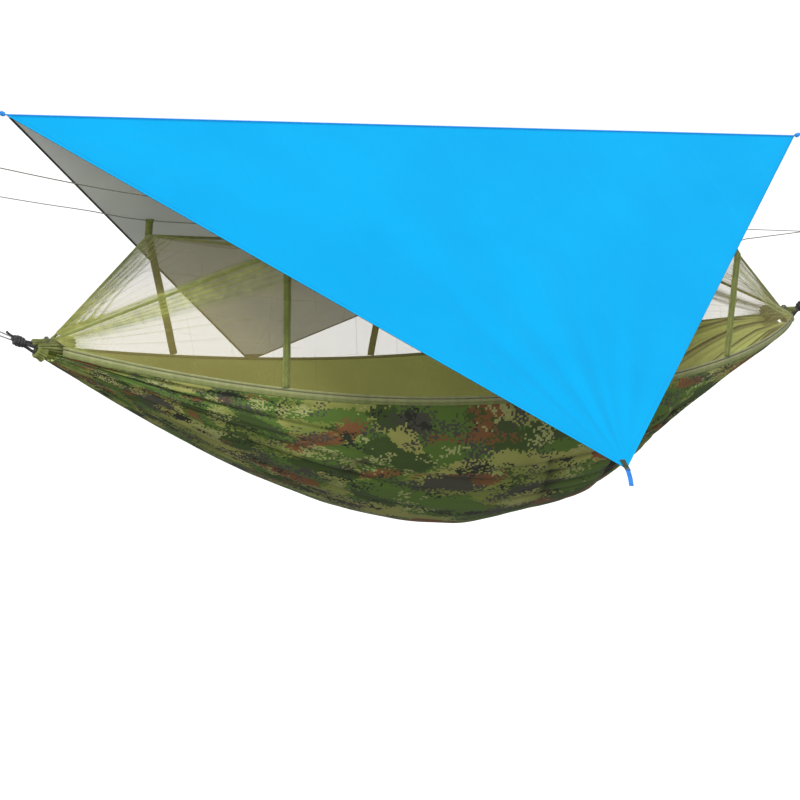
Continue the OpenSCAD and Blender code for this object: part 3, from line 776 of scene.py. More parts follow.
# %% One tree for everything that repeats along a line
def beads_tree():
    tree = bpy.data.node_groups.new("beads_along_line", "GeometryNodeTree")
    tree.interface.new_socket("Line", in_out="INPUT", socket_type="NodeSocketGeometry")
    for name in ("Spacing", "Length", "Width", "Height", "Slant"):
        tree.interface.new_socket(name, in_out="INPUT", socket_type="NodeSocketFloat")
    tree.interface.new_socket("Finish", in_out="INPUT", socket_type="NodeSocketMaterial")
    tree.interface.new_socket("Beads", in_out="OUTPUT", socket_type="NodeSocketGeometry")

    def node(kind, inputs, **settings):
        made = tree.nodes.new(kind)
        for key, value in settings.items():
            setattr(made, key, value)
        for key, value in inputs.items():
            if isinstance(value, bpy.types.NodeSocket):
                tree.links.new(value, made.inputs[key])
            else:
                made.inputs[key].default_value = value
        return made.outputs

    given = node("NodeGroupInput", {})
    curve = node("GeometryNodeMeshToCurve", {"Mesh": given["Line"]})
    points = node("GeometryNodeCurveToPoints", {"Curve": curve[0], "Length": given["Spacing"]}, mode="LENGTH")
    size = node("ShaderNodeCombineXYZ", {0: given["Length"], 1: given["Width"], 2: given["Height"]})
    bead = node("GeometryNodeMeshUVSphere", {"Segments": 6, "Rings": 4, "Radius": 0.5})
    shaped = node("GeometryNodeTransform", {"Geometry": bead[0], "Scale": size[0]})
    above = node("GeometryNodeInputNamedAttribute", {"Name": "above"}, data_type="FLOAT_VECTOR")
    ahead = node("FunctionNodeAlignRotationToVector", {"Vector": points["Tangent"]}, axis="X")
    both = {"Rotation": ahead[0], "Vector": above[0]}
    upright = node("FunctionNodeAlignRotationToVector", both, axis="Z", pivot_axis="X")
    index = node("GeometryNodeInputIndex", {})
    odd = node("ShaderNodeMath", {0: index[0], 1: 2.0}, operation="MODULO")
    swing = node("ShaderNodeMath", {0: odd[0], 1: 2.0, 2: -1.0}, operation="MULTIPLY_ADD")
    slant = node("ShaderNodeMath", {0: swing[0], 1: given["Slant"]}, operation="MULTIPLY")
    turn = node("ShaderNodeCombineXYZ", {2: slant[0]})
    turned = node(
        "FunctionNodeRotateRotation", {"Rotation": upright[0], "Rotate By": turn[0]}, rotation_space="LOCAL"
    )
    strung = node(
        "GeometryNodeInstanceOnPoints", {"Points": points[0], "Instance": shaped[0], "Rotation": turned[0]}
    )
    real = node("GeometryNodeRealizeInstances", {0: strung[0]})
    painted = node("GeometryNodeSetMaterial", {"Geometry": real[0], "Material": given["Finish"]})
    node("NodeGroupOutput", {"Beads": painted[0]})
    return tree


beads_along = beads_tree()
bead_inputs = {
    item.name: item.identifier for item in beads_along.interface.items_tree if item.in_out == "INPUT"
}


def beads(name, lines, finish, spacing, length, width, height, slant=0.0):
    """A mesh piece with a bead at every step of each line. A line is (path, the direction above it)."""
    points, edges, aboves = [], [], []
    for path, above in lines:
        start = len(points)
        points += [tuple(p) for p in path]
        edges += [(start + k, start + k + 1) for k in range(len(path) - 1)]
        aboves.append(np.broadcast_to(np.asarray(above, float), np.shape(path)))
    mesh = bpy.data.meshes.new(name + "_line")
    mesh.from_pydata(points, edges, [])
    above_data = mesh.attributes.new("above", "FLOAT_VECTOR", "POINT").data
    above_data.foreach_set("vector", np.concatenate(aboves).ravel())
    carrier = bpy.data.objects.new(name + "_line", mesh)
    bpy.context.scene.collection.objects.link(carrier)
    modifier = carrier.modifiers.new("beads", "NODES")
    modifier.node_group = beads_along
    sizes = {"Spacing": spacing, "Length": length, "Width": width, "Height": height, "Slant": slant}
    for key, value in {**sizes, "Finish": finish}.items():
        modifier[bead_inputs[key]] = value
    bpy.context.view_layer.update()
    made = carrier.evaluated_get(bpy.context.evaluated_depsgraph_get())
    plain_mesh = bpy.data.meshes.new_from_object(made)
    bpy.data.objects.remove(carrier)
    if not plain_mesh.uv_layers:
        plain_mesh.uv_layers.new(name="metres")
    plain_mesh.uv_layers[0].name = "metres"
    piece = bpy.data.objects.new(name, plain_mesh)
    bpy.context.scene.collection.objects.link(piece)
    print(name, "has", len(plain_mesh.polygons), "faces")
    return piece


# %% [markdown]
# ## Hems and the zip
# Each rim is turned over twice into a hem with two rows of stitching. On the near side the zip's tape is
# sewn to the hem, and its closed coil carries the net's edge. The slider and its pull are small castings,
# so they are copies of the engineering pieces with their corners rounded.

# %% Hems, tape and coil
rim_from, rim_to = left_end[0] + 0.040, right_end[0] - 0.035


def rim_line(side, up, out=0.0, start=rim_from, stop=rim_to, steps=150):
    return rim(side, np.linspace(start, stop, steps), up, out)


for side, name in ((NEAR, "near"), (FAR, "far")):
    outline = band_outline(0.0032, hem_h + 0.003)
    hem = sweep(f"{name}_hem", [(rim_line(side, hem_h / 2 - 0.001), outline, (0, 0, 1))], [olive_binding])
    placed(hem, "bed", "olive_binding", f"{name}_rim_hem")
    rows = [(rim_line(side, up, 0.0017), (0, side, 0)) for up in (0.0005, 0.0050)]
    stitches = beads(f"{name}_hem_stitches", rows, olive_thread, 0.0055, 0.0038, 0.0009, 0.0009)
    placed(stitches, "bed", "olive_binding")

tape_line = rim_line(NEAR, hem_h + zip_tape_h / 2)
tape = sweep("zip_cloth_tape", [(tape_line, band_outline(0.0012, zip_tape_h), (0, 0, 1))], [grey_tape])
placed(tape, "bed", "zip_tape", "zip_tape")
coil_line = rim_line(NEAR, coil_up, 0, left_end[0] + 0.060, right_end[0] - 0.050)
teeth = beads(
    "zip_teeth", [(coil_line, (0, 0, 1))], tooth_plastic, 0.0021, 0.0014, 2.3 * coil_r, 1.8 * coil_r, 0.12
)
placed(teeth, "bed", "zip_coil", "zip_coil")
net_edge_line = rim_line(NEAR, coil_up + 0.0048)
net_edge = sweep("net_zip_tape", [(net_edge_line, band_outline(0.0012, 0.0062), (0, 0, 1))], [grey_tape])
placed(net_edge, "bed", "zip_tape")


# %% Rounded copies of the hard pieces
def rounded_copy(node, finish, radius, body, slot):
    """A copy of an engineering piece, merged and bevelled, that stands for it."""
    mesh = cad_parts[node].data.copy()
    shape = bmesh.new()
    shape.from_mesh(mesh)
    bmesh.ops.remove_doubles(shape, verts=shape.verts, dist=0.00002)
    bmesh.ops.dissolve_limit(shape, angle_limit=math.radians(2), verts=shape.verts, edges=shape.edges)
    bmesh.ops.recalc_face_normals(shape, faces=shape.faces)
    shape.to_mesh(mesh)
    shape.free()
    mesh.materials.clear()
    mesh.materials.append(finish)
    piece = bpy.data.objects.new(node + "_rounded", mesh)
    bpy.context.scene.collection.objects.link(piece)
    bevel = piece.modifiers.new("edges", "BEVEL")
    bevel.width, bevel.segments, bevel.limit_method = radius, 3, "ANGLE"
    bevel.angle_limit = math.radians(35)
    mesh.polygons.foreach_set("use_smooth", [True] * len(mesh.polygons))
    mesh.set_sharp_from_angle(angle=math.radians(50))
    return placed(piece, body, slot, node)


for node, finish, radius, body, slot in (
    ("left_carabiner", steel, 0.0016, "rigging", "steel"),
    ("right_carabiner", steel, 0.0016, "rigging", "steel"),
    ("left_gate", steel, 0.0012, "left_gate", "steel"),
    ("right_gate", steel, 0.0012, "right_gate", "steel"),
    ("left_gate_pin", steel, 0.0004, "rigging", "steel"),
    ("right_gate_pin", steel, 0.0004, "rigging", "steel"),
    ("zip_slider", zip_metal, 0.0009, "zip_slider", "zip_metal"),
    ("zip_pull", zip_metal, 0.0004, "zip_pull", "zip_metal"),
):
    rounded_copy(node, finish, radius, body, slot)
print("eight hard pieces rounded")

# %% Gate springs
spring_half, spring_r, spring_turns = 0.0090, 0.00175, 11
for side, name in ((LEFT, "left"), (RIGHT, "right")):
    low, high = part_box(f"{name}_gate_spring")
    way = along(side, 1) - along(side, 0)
    middle = (np.array(low) + np.array(high)) / 2
    lift = np.cross((0, 1, 0), way) * side
    angle = np.linspace(0, spring_turns * math.tau, 200)
    run = middle + np.linspace(-spring_half, spring_half, 200)[:, None] * way
    run += spring_r * circled(angle, lift, (0, 1, 0))
    spring = sweep(f"{name}_spring_coil", [(run, round_outline(0.0003, 6), way)], [steel])
    placed(spring, f"{name}_gate", "steel", f"{name}_gate_spring")

# %% [markdown]
# ## Gathered ends
# At each end the bed's cloth is turned over into a channel and drawn up on the black rope, which packs it
# into deep even folds. A closed sleeve with a wavy outline is enough for that, because the folds touch.

# %% Gathered channels
gather_long = 0.030


def gathered_channel(side, name):
    slope = (left_slope if side == LEFT else right_slope) + math.radians(5)
    end = left_end if side == LEFT else right_end
    way = np.array((-side * math.cos(slope), 0, -math.sin(slope)))
    over = np.array((-side * math.sin(slope), 0, math.cos(slope)))
    start = end - 0.010 * way - 0.007 * over
    run = np.array((0.004, 0.001, 0.0, 0.001, 0.003, 0.007, 0.012, 0.018, 0.024, gather_long))
    radius = np.array((0.004, 0.008, 0.013, 0.017, 0.019, 0.0195, 0.0185, 0.019, 0.021, 0.022))
    around = np.linspace(0, math.tau, 241)
    wave = 0.085 * np.cos(17 * around + 0.6 * np.sin(3 * around)) * np.clip(radius / 0.016, 0, 1)[:, None]
    ring = radius[:, None] * (1 + wave)
    grid = start + run[:, None, None] * way + ring[..., None] * circled(around, (0, 1, 0), over)
    places = np.stack(np.meshgrid(run + 0.3 * (side == RIGHT), around * 0.2, indexing="ij"), -1)
    sleeve = sheet(f"{name}_channel", grid, places, [plain_cloth], flip=side == RIGHT)
    placed(sleeve, "bed", "camo_cloth", f"{name}_gather")
    sewn = grid[7]
    lines = [(sewn[::2], unit(sewn[::2] - sewn.mean(axis=0)))]
    stitches = beads(f"{name}_channel_stitches", lines, dark_thread, 0.004, 0.003, 0.0008, 0.0008)
    placed(stitches, "bed", "olive_binding")


gathered_channel(LEFT, "left")
gathered_channel(RIGHT, "right")

# %% [markdown]
# ## The net
# Five panels are sewn into a tent: two sides, two ends and a top. Each end panel and the end of each side
# panel is a fan that is drawn together at the gather, so its pleats run like the ribs of a fan, close
# together at the tip and lost at the far edge. The attribute `bunched` says where the pleats lie, and the
# same number pushes the cloth in and out, so that a dark pleat is also a raised one.

# %% Net corners and edges
corners = {
    "near": (np.array((0.925, -0.290, 0.200)), np.array((2.565, -0.290, 0.187))),
    "far": (np.array((0.802, 0.345, 0.178)), np.array((2.535, 0.345, 0.188))),
}
supports = {"near": (0.930, 1.700, 2.560), "far": (0.806, 1.670, 2.530)}
net_left = left_end + np.array((0.032, 0, 0.024))
net_right = right_end + np.array((-0.030, 0, 0.024))
scallop = 0.012


def between_bed_and_cords(piece):
    """Bakes a piece's placement into its mesh."""
    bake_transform(piece)


def top_edge(side_name, x):
    """The net's upper edge on one side, which dips a little between its loops."""
    first, last = corners[side_name]
    stops = (net_left[0], first[0], last[0], net_right[0])
    y = np.interp(x, stops, (0, first[1], last[1], 0))
    z = np.interp(x, stops, (net_left[2], first[2], last[2], net_right[2]))
    a, b, c = supports[side_name]
    between = np.where(x < b, (x - a) / (b - a), (x - b) / (c - b))
    return np.stack((x, y, z - scallop * np.sin(math.pi * np.clip(between, 0, 1))), -1)


def soft_step(value, low, high):
    t = np.clip((value - low) / (high - low), 0, 1)
    return t * t * (3 - 2 * t)


def pleat(distance, middle, width):
    """One bunched pleat, 1 in its middle."""
    return np.exp(-(((distance - middle) / width) ** 2))


def net_piece(name, node, grid, bunched, depth, finish, bows=0.0):
    """A net panel: pleats stand out of it by their share of depth. It hangs between the bed and the cords."""
    normal = unit(np.cross(np.gradient(grid, axis=0), np.gradient(grid, axis=1)))
    steps_along = np.linalg.norm(np.diff(grid[:, -1], axis=0), axis=1)
    run = np.concatenate(([[0]], np.cumsum(steps_along)[:, None]))
    steps_up = np.linalg.norm(np.diff(grid, axis=1), axis=2)
    rise = np.cumsum(np.concatenate((np.zeros((len(grid), 1)), steps_up), 1), 1)
    places = np.stack((np.broadcast_to(run, rise.shape), rise), -1)
    waves = ripples(places[..., 0] * 5, places[..., 1] * 6, len(name)) * 0.004
    edge = np.ones(grid.shape[:2])
    edge[[0, -1]] = 0
    edge[:, [0, -1]] = 0
    moved = grid + normal * ((bunched * depth + waves + bows) * edge)[..., None]
    piece = sheet(name, moved, places, [finish])
    bunched_data = piece.data.attributes.new("bunched", "FLOAT", "POINT").data
    bunched_data.foreach_set("value", np.clip(bunched, 0, 1).ravel().astype(np.float32))
    print(name, "has an area of", round(area_of(piece), 2), "m2")
    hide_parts(node)
    between_bed_and_cords(piece)


# %% Side panels
side_columns = 110
side_ribs = ((0.22, 0.25), (0.40, 0.3), (0.56, 0.4), (0.66, 0.3))
for side, name, up in ((NEAR, "near", net_up), (FAR, "far", far_net_up)):
    first, last = corners[name]
    stops = [net_left[0] + 0.014, first[0], last[0], net_right[0] - 0.014]
    spans = [np.linspace(*stops[k : k + 2], count) for k, count in enumerate((80, 70, 52))]
    x = np.concatenate((spans[0][:-1], spans[1][:-1], spans[2]))
    low = rim(side, x, up)
    high = top_edge(name, x) + np.array((0, side * 0.002, -0.003))
    high[:, 2] = np.maximum(high[:, 2], low[:, 2] + 0.004)
    t = 1 - (1 - np.linspace(0, 1, side_columns)) ** 1.5
    grid = low[:, None] + (high - low)[:, None] * t[None, :, None]
    tall = np.linalg.norm(high - low, axis=1)[:, None]
    below_edge = (1 - t)[None, :] * tall
    from_left = ((x - net_left[0]) / (first[0] - net_left[0]))[:, None]
    from_right = ((net_right[0] - x) / (net_right[0] - last[0]))[:, None]
    fan_left, fan_right = soft_step(from_left, 1.12, 0.95), soft_step(from_right, 1.12, 0.95)
    streaks = 0.78 + 0.22 * np.cos(t[None, :] * math.tau * 19)
    band = (0.85 * pleat(below_edge, 0.016, 0.030) + 0.45 * pleat(t[None, :], 0.80, 0.07)) * streaks
    right_band = 0.9 * pleat(below_edge, 0.040, 0.014) + 0.7 * pleat(below_edge, 0.064, 0.005)
    ribs = sum(pleat(t[None, :], at, 0.010) * share for at, share in side_ribs)
    tip = soft_step(np.minimum(from_left, from_right), 0.22, 0.0)
    bunched = band * fan_left + right_band * fan_right
    bunched += ribs * (soft_step(from_left, 1.0, 0.3) + soft_step(from_right, 1.0, 0.4))
    bunched = np.maximum(bunched, tip * (0.7 + 0.3 * np.cos(t[None, :] * 60)))
    if side == FAR:
        grid, bunched = grid[::-1], bunched[::-1]
    net_piece(
        f"{name}_net_panel", f"{name}_net", grid, bunched, 0.005, side_net_finish
    )

# %% End panels
end_rows, end_columns = 70, 230
end_gathers = (
    (0.012, 0.022, 1.0), (0.050, 0.010, 0.9), (0.073, 0.006, 0.85), (0.100, 0.010, 0.85), (0.132, 0.005, 0.8),
)
end_ribs = (
    (0.22, 0.006, 0.3), (0.36, 0.005, 0.35), (0.50, 0.006, 0.4), (0.62, 0.014, 0.7), (0.71, 0.005, 0.5),
    (0.79, 0.010, 0.5),
)
for k, name, tip, near_pleat, far_share in (
    (0, "left", net_left, (0.008, 0.024), 1), (1, "right", net_right, (0.034, 0.016), 0.5),
):
    near, far = corners["near"][k], corners["far"][k]
    u = np.linspace(0.05, 1, end_rows)
    v = np.linspace(0.004, 0.996, end_columns)
    edge_line = near + (far - near) * v[:, None]
    grid = tip + (edge_line - tip)[None] * u[:, None, None] + np.array((0, 0, 0.003))
    wide = np.linalg.norm(far - near) * u[:, None]
    from_near, from_far = v[None, :] * wide, (1 - v)[None, :] * wide
    comb = 0.76 + 0.24 * np.cos(v[None, :] * math.tau * 44)
    far_bundle = sum(share * pleat(from_far, at, width) for at, width, share in end_gathers) * comb
    near_band = pleat(from_near, *near_pleat) * comb
    ribs = sum(pleat(v[None, :], at, width) * share for at, width, share in end_ribs)
    fan = soft_step(u[:, None], 1.05, 0.25)
    bunched = far_bundle * far_share + near_band + ribs * fan
    tip_folds = 0.75 + 0.25 * np.cos(v[None, :] * 90)
    bunched = np.maximum(bunched, soft_step(u[:, None], 0.26, 0.05) * tip_folds)
    if name == "right":
        grid, bunched = grid[:, ::-1], bunched[:, ::-1]
    bow = 0.012 * np.sin(math.pi * u)[:, None] * np.sin(math.pi * v)[None, :]
    net_piece(
        f"{name}_net_panel", f"{name}_net", grid, bunched, 0.004, side_net_finish, bow
    )

# %% Top panel
x_near = np.linspace(corners["near"][0][0], corners["near"][1][0], 120)
x_far = np.linspace(corners["far"][0][0], corners["far"][1][0], 120)
v = np.linspace(0, 1, 50)
near_line, far_line = top_edge("near", x_near), top_edge("far", x_far)
grid = near_line[:, None] + (far_line - near_line)[:, None] * v[None, :, None]
grid[..., 2] -= 0.014 * np.sin(math.pi * v)[None, :]
across_top = 0.5 * pleat(v, 0.0, 0.02) + 0.35 * pleat(v, 0.35, 0.012)
bunched = np.broadcast_to(across_top, grid.shape[:2])
net_piece("top_net_panel", "top_net", grid, bunched, 0.002, top_net_finish)

# %% Bound seams between the panels
seam_outline = band_outline(0.0045, 0.0085)


def seam(name, path):
    piece = sweep(name, [(path, seam_outline, (0, 0, 1))], [olive_tape])
    between_bed_and_cords(piece)


for name in ("near", "far"):
    seam(f"{name}_top_seam", top_edge(name, np.linspace(net_left[0] + 0.01, net_right[0] - 0.01, 220)))
for k, name in ((0, "left"), (1, "right")):
    seam(f"{name}_top_seam", straight(corners["near"][k], corners["far"][k], np.linspace(0, 1, 30)))

# %% [markdown]
# ## Tapes, ties and the bunched net ends
# Narrow webbing runs up each side panel from the rim to a loop on the taut cord, fixed with zigzag
# stitching. At each end the net's surplus is drawn into a tail that a cord tie holds shut.

# %% Tapes with their loops
tape_w, tape_t, loop_in = 0.025, 0.0012, 0.004


def cord_height(side_name, x):
    points = np.array(near_cord_points if side_name == "near" else far_cord_points)
    return np.array([np.interp(x, points[:, 0], points[:, k]) for k in range(3)])


def net_tape(side, side_name, place, foot_x, top_x):
    foot = rim(side, foot_x, net_up if side == NEAR else far_net_up, 0.003)
    over = cord_height(side_name, top_x)
    edge = top_edge(side_name, np.array(top_x))
    shoulder = np.array((top_x, edge[1] + side * 0.005, edge[2]))
    upper = np.array((over[0], over[1] + side * 0.003, over[2] - loop_in - 0.001))
    lower = straight(foot, shoulder, np.linspace(0, 0.96, 40))
    path = np.concatenate((lower, fair_path([shoulder, shoulder + (upper - shoulder) * 0.5, upper], 8)))
    wave = np.sin(np.linspace(0, 26, len(path))) * 0.0012
    path[:, 1] += wave * np.linspace(1, 0, len(path))
    angle = np.linspace(0, math.tau, 40)
    outward = circled(angle, (0, 0, -1), (0, 1, 0))
    ring = over + (loop_in + tape_t / 2) * outward
    flat = band_outline(tape_w, tape_t)
    runs = [(path, flat, (0, side, 0)), (ring, flat, outward)]
    tape = sweep(f"{side_name}_{place}_webbing", runs, [olive_tape])
    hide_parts(f"{side_name}_{place}_tape")
    rows = [(path + np.array((off, side * 0.0008, 0)), (0, side, 0)) for off in (-0.006, 0.006)]
    zigzag = beads(f"{side_name}_{place}_zigzag", rows, dark_thread, 0.008, 0.012, 0.0014, 0.0011, 0.75)
    for piece in (tape, zigzag):
        between_bed_and_cords(piece)


for place, near_x, far_x in (
    ("left", (0.920, 0.930), (0.905, 0.806)),
    ("middle", (1.700, 1.700), (1.640, 1.670)),
    ("right", (2.530, 2.560), (2.450, 2.530)),
):
    net_tape(NEAR, "near", place, *near_x)
    net_tape(FAR, "far", place, *far_x)

# %% The net's hem drawn in with the bed's ends
bundle_in = -0.085


def bundle(name, side, stations, radius, middle, steps, folds, sway, depth, pinch, height):
    """Net packed round a middle line: `folds` waves round it, pinched at both ends, less high than wide."""
    around = np.linspace(0, math.tau, steps)
    ring = radius[:, None] * (1 + depth * np.cos(folds * around + np.sin(sway * around)))[None, :]
    ring[[0, -1]] *= pinch
    grid = middle[:, None] + ring[..., None] * circled(around, (0, 1, 0), (0, 0, height))
    places = np.stack(np.meshgrid(stations, around * 0.03, indexing="ij"), -1)
    placed(sheet(name, grid, places, [dark_net], flip=side == LEFT), "bed", "net")


for side, name, end in ((LEFT, "left", left_end), (RIGHT, "right", right_end)):
    stations = np.linspace(bundle_in, 0.010, 30)
    radius = 0.014 + 0.013 * soft_step(stations, 0.0, bundle_in)
    middle = end + stations[:, None] * np.array((side, 0, 0))
    middle[:, 2] = chord_z(middle[:, 0]) + 0.010 + 0.05 * stations
    bundle(f"{name}_hem_gather", side, stations, radius, middle, 121, 13, 3, 0.13, 0.2, 0.85)

# %% Net tails and their ties
for side, name, tip in ((LEFT, "left", net_left), (RIGHT, "right", net_right)):
    away = np.array((side, 0, 0))
    centre = tip + away * 0.012 + np.array((0, 0, 0.002))
    stations = np.linspace(bundle_in, 0.045, 40)
    outer, inner = soft_step(stations, 0.012, 0.04), soft_step(stations, -0.004, bundle_in)
    radius = 0.0080 + 0.004 * outer + 0.018 * inner
    sink = np.array((0, 0, -0.13))
    middle = centre + stations[:, None] * away + abs(stations)[:, None] * sink
    bundle(f"{name}_net_tail", side, stations, radius, middle, 97, 11, 2, 0.16, 0.15, 0.75)
    wrap = centre + np.linspace(-0.004, 0.004, 90)[:, None] * away
    wrap += 0.0102 * circled(np.linspace(0, 3 * math.tau, 90), (0, 1, 0), (0, 0, 1))
    tie = sweep(f"{name}_tail_tie", [(wrap, round_outline(0.0014, 8), away)], [olive_cord])
    placed(tie, "bed", "dark_green_cord", f"{name}_net_tie")

# %% [markdown]
# ## The tarp
# A square sheet lies over a taut seam along its diagonal. Each half is one triangle of cloth, blue outside
# and grey on its coated side. Pull runs from each corner, so the cloth has low ridges that spread from the
# three corners of each wing, and the seam shows a row of small puckers.

# %% Place on a wing
slope_run, slope_drop = math.cos(wing_slope), math.sin(wing_slope)


def on_wing(side, x, down, above=0.0):
    """The point x along the ridge from its middle and `down` the slope, `above` the cloth."""
    x, down, above = np.broadcast_arrays(x, down, above)
    y = side * (down * slope_run + above * slope_drop)
    return np.stack((tarp_x + x, y, ridge_z - down * slope_drop + above * slope_run), -1)


def off_wing(side):
    """The direction straight out of a wing's upper face."""
    return np.array((0, side * slope_drop, slope_run))


def pulled(x, down, seed):
    """How far the taut cloth stands out, in metres."""
    out = np.zeros_like(x)
    for corner_x, corner_down, strength in ((-half_ridge, 0, 1), (half_ridge, 0, 1), (0, half_ridge, 1.3)):
        away = np.hypot(x - corner_x, down - corner_down)
        turn = np.arctan2(down - corner_down, x - corner_x)
        fan = ripples(turn * 7, away * 0.7, seed + corner_x)
        out += 0.0042 * strength * fan * np.clip(away / 0.35, 0, 1) * np.exp(-((away / 1.0) ** 2))
    out += 0.0030 * ripples(x * 1.4, down * 4.5, seed + 3)
    puckers = np.cos(x * math.tau / 0.045 + ripples(x * 9, down * 3, seed + 9) * 3)
    out += 0.0011 * puckers * np.exp(-down / 0.03)
    edge = np.minimum(down, (half_ridge - down - np.abs(x)) / math.sqrt(2))
    return out * np.clip(edge / 0.09, 0, 1)


# %% The two wings
wing_rows, wing_columns = 260, 150
for side, name, seed in ((NEAR, "near", 5), (FAR, "far", 21)):
    across, v = np.meshgrid(np.linspace(-1, 1, wing_rows), np.linspace(0, 0.998, wing_columns), indexing="ij")
    x, down = across * (half_ridge - 0.0056) * (1 - v), 0.0026 + v * (half_ridge - 0.0056)
    grid = on_wing(side, x, down, pulled(x, down, seed))
    places = np.stack((x, down), -1)
    wing = sheet(f"{name}_wing_cloth", grid, places, [tarp_outside, tarp_lining], flip=side == NEAR)
    facing = tuple(round(c, 2) for c in wing.data.polygons[9000].normal)
    print(name, "wing: area", round(area_of(wing), 2), "m2, faces", facing)
    thicken(wing, 0.0008, 1)
    placed(wing, f"{name}_wing", "tarp", f"{name}_wing")

# %% Hems along the free edges
def wing_edge(side, inset, above, steps=90):
    """The two free edges, a distance in from them: left corner, tip, right corner."""
    reach = half_ridge - 0.0045 - inset * math.sqrt(2)
    shares = np.linspace(0, 1, steps)
    left, tip, right = (np.array(p) for p in ((-reach + 0.012, 0.012), (0, reach), (reach - 0.012, 0.012)))
    flat = np.concatenate((straight(left, tip, shares), straight(tip, right, shares[1:])))
    return on_wing(side, flat[:, 0], flat[:, 1], above)


# The near wing's edge band sits just under the cloth in dark green: a painted shadow line along that edge.
for side, name, finish, slot, wide in (
    (NEAR, "near", dark_webbing_and_edge_shadow, "tarp", 0.006), (FAR, "far", black_binding, "black_webbing", 0.006),
):
    path = wing_edge(side, wide / 2 - 0.001, -0.0014)
    left_part, right_part = path[:90], path[89:]
    up = off_wing(side)
    flat = band_outline(wide, 0.0014)
    hem = sweep(f"{name}_wing_edge", [(left_part, flat, up), (right_part, flat, up)], [finish])
    placed(hem, f"{name}_wing", slot, f"{name}_wing_hem")
    rows = [(wing_edge(side, 0.011, 0.0005), up)]
    stitches = beads(f"{name}_hem_stitches", rows, blue_thread, 0.009, 0.006, 0.0011, 0.0007)
    placed(stitches, f"{name}_wing", "tarp")

# %% Ridge seam and its stitches
ridge_x = np.linspace(tarp_x - half_ridge, tarp_x + half_ridge, 120)
ridge_line = np.stack((ridge_x, 0 * ridge_x, 0 * ridge_x + ridge_z), -1)
seam_body = sweep("ridge_seam_body", [(ridge_line, round_outline(0.0021, 10), (0, 0, 1))], [tarp_seam])
placed(seam_body, "rigging", "tarp", "ridge_seam")
for side, name in ((NEAR, "near"), (FAR, "far")):
    x = np.linspace(-half_ridge + 0.02, half_ridge - 0.02, 60)
    rows = [(on_wing(side, x, 0.0075, 0.0004), off_wing(side))]
    stitches = beads(f"{name}_ridge_stitches", rows, blue_thread, 0.009, 0.006, 0.0011, 0.0007)
    placed(stitches, f"{name}_wing", "tarp")

# %% Twisted ties at the ridge's ends
tie_lean, twist_long = math.radians(70), 0.047
for side, name in ((LEFT, "left"), (RIGHT, "right")):
    start = np.array((tarp_x + side * (half_ridge + 0.001), 0, ridge_z))
    way = np.array((side * math.sin(tie_lean), 0, math.cos(tie_lean)))
    over = np.array((-way[2] * side, 0, way[0] * side))
    reach = np.linspace(0.0, twist_long, 60)
    turn = reach / twist_long * 2.2 * math.tau
    runs = []
    for phase in (0, math.pi):
        spiral = start + reach[:, None] * way + 0.0021 * circled(turn + phase, over, (0, 1, 0))
        runs.append((spiral, round_outline(0.0023, 8), (0, 1, 0.01)))
    wrap = circled(np.linspace(0, 3 * math.tau, 90), over, (0, 1, 0))
    knot = start + np.linspace(0.002, 0.013, 90)[:, None] * way + 0.0046 * wrap
    runs.append((knot, round_outline(0.0024, 8), way))
    ring = start + way * 0.055 + 0.010 * circled(np.linspace(0, math.tau, 48), way, over)
    runs.append((ring, round_outline(0.0023, 8), (0, 1, 0)))
    placed(sweep(f"{name}_ridge_cord", runs, [tarp_seam]), "rigging", "tarp", f"{name}_ridge_tie")

# %% The near tip's webbing and tag
up = off_wing(NEAR)
strap_line = on_wing(NEAR, 0, np.linspace(half_ridge - 0.036, half_ridge + 0.004, 14), 0.0013)
strap = sweep("near_tip_strap", [(strap_line, band_outline(0.018, 0.0014), up)], [dark_webbing_and_edge_shadow])
placed(strap, "near_wing", "olive_binding", "near_tip_webbing")
bar = np.linspace(-0.007, 0.007, 8)
bars = [(on_wing(NEAR, bar, half_ridge + down, 0.0023), up) for down in (-0.032, -0.012, 0.0)]
bartacks = beads("near_tip_bartacks", bars, dark_thread, 0.0012, 0.0011, 0.0034, 0.0012)
placed(bartacks, "near_wing", "olive_binding")
angle = -wing_slope - math.radians(25)
root = on_wing(NEAR, 0, half_ridge + 0.0045)
reach = np.linspace(-0.006, 0.044, 24)
tag_line = root + np.stack((0.0018 * np.sin(reach * 70), -np.cos(angle) * reach, np.sin(angle) * reach), -1)
tag_up = np.array((0, math.sin(angle), math.cos(angle)))
tag = sweep("near_tip_ribbon", [(tag_line, band_outline(0.0155, 0.0014), tag_up)], [blue_tag])
placed(tag, "near_wing", "tarp_tag", "near_tip_tag")

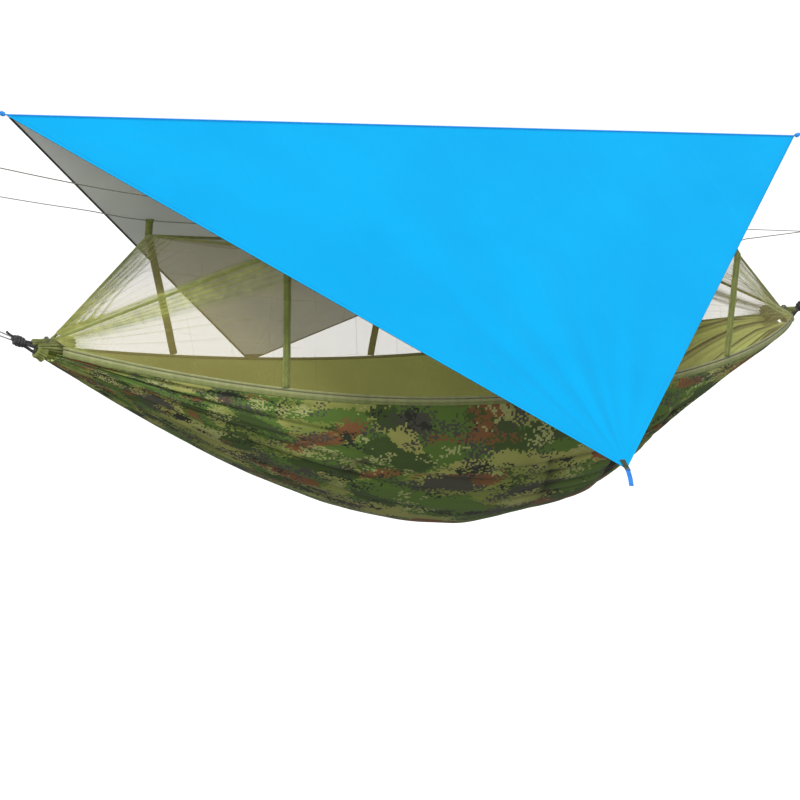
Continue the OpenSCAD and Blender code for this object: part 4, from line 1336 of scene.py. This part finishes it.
# %% The far tip's patch and loop
v, across = np.meshgrid(np.linspace(0, 0.94, 24), np.linspace(-1, 1, 25), indexing="ij")
x, down = across * 0.041 * (1 - v), half_ridge - 0.048 + v * 0.042
for name, above, nodes in (
    ("far_tip_corner", 0.0019, ["far_tip_patch"]),
    ("far_tip_corner_under", -0.0014, []),
):
    corner = on_wing(FAR, x, down, above)
    patch = sheet(name, corner, np.stack((x, down), -1), [black_binding], flip=above > 0)
    print(name, "faces", tuple(round(c, 2) for c in patch.data.polygons[200].normal))
    thicken(patch, 0.0009)
    placed(patch, "far_wing", "black_webbing", *nodes)
centre = on_wing(FAR, 0, half_ridge + 0.007)
down_way = on_wing(FAR, 0, 1.0) - on_wing(FAR, 0, 0.0)
outward = circled(np.linspace(0, math.tau, 48), down_way, off_wing(FAR))
ring = centre + 0.0073 * outward
loop = sweep("far_tip_ring", [(ring, band_outline(0.012, 0.0014), outward)], [black_binding])
placed(loop, "far_wing", "black_webbing", "far_tip_loop")

# %% [markdown]
# ## Light and floor
# A pale sky and one wide soft lamp from the upper left, as in a bright studio. The floor is a plain pale
# disc below the bed. It looks white, but it throws back only part of the light, so that the underside of
# the bed stays in shade.

# %% Studio
world = bpy.data.worlds.new("studio")
bpy.context.scene.world = world
world.use_nodes = True
sky = Signal(world.node_tree)
background = world.node_tree.nodes["Background"]
background.inputs["Color"].default_value = (1, 1, 1, 1)
(sky.node("ShaderNodeLightPath") * 0.3 + 0.75).feed(background, "Strength")
fill_way = Vector((0.95, 0.80, -0.10)).to_track_quat("-Z", "Y").to_euler()
for name, energy, softness, aim in (
    ("soft_key", 2.0, 20, (math.radians(38), math.radians(-22), 0)),
    ("soft_fill", 1.7, 50, fill_way),
):
    lamp = bpy.data.objects.new(name, bpy.data.lights.new(name, "SUN"))
    lamp.data.energy = energy
    lamp.data.angle = math.radians(softness)
    lamp.rotation_euler = aim
    bpy.context.scene.collection.objects.link(lamp)
bpy.context.scene.view_settings.view_transform = "Standard"

floor_finish, floor_shader, floor_draw = new_finish("floor", Roughness=0.9, Specular_IOR_Level=0.1)
floor_place = floor_draw.node("ShaderNodeTexCoord", {}, {}, "Object")
seen = floor_draw.node("ShaderNodeLightPath")
pale = spots(floor_draw, floor_place, 2).ramp_from(0.2, 0.8).paint((0.94, 0.94, 0.94), (0.96, 0.96, 0.96))
seen.paint((0.24, 0.24, 0.22), pale).feed(floor_shader, "Base Color")
floor_z = cad_box[0][2] - 2.0
floor_r = 60.0
rim_points = [(mid_x + x, y, floor_z) for x, y in round_outline(floor_r, 64)]
floor = link_mesh("floor", rim_points, [list(range(64))], [(0, 0)] * 64, [floor_finish], smooth=False)
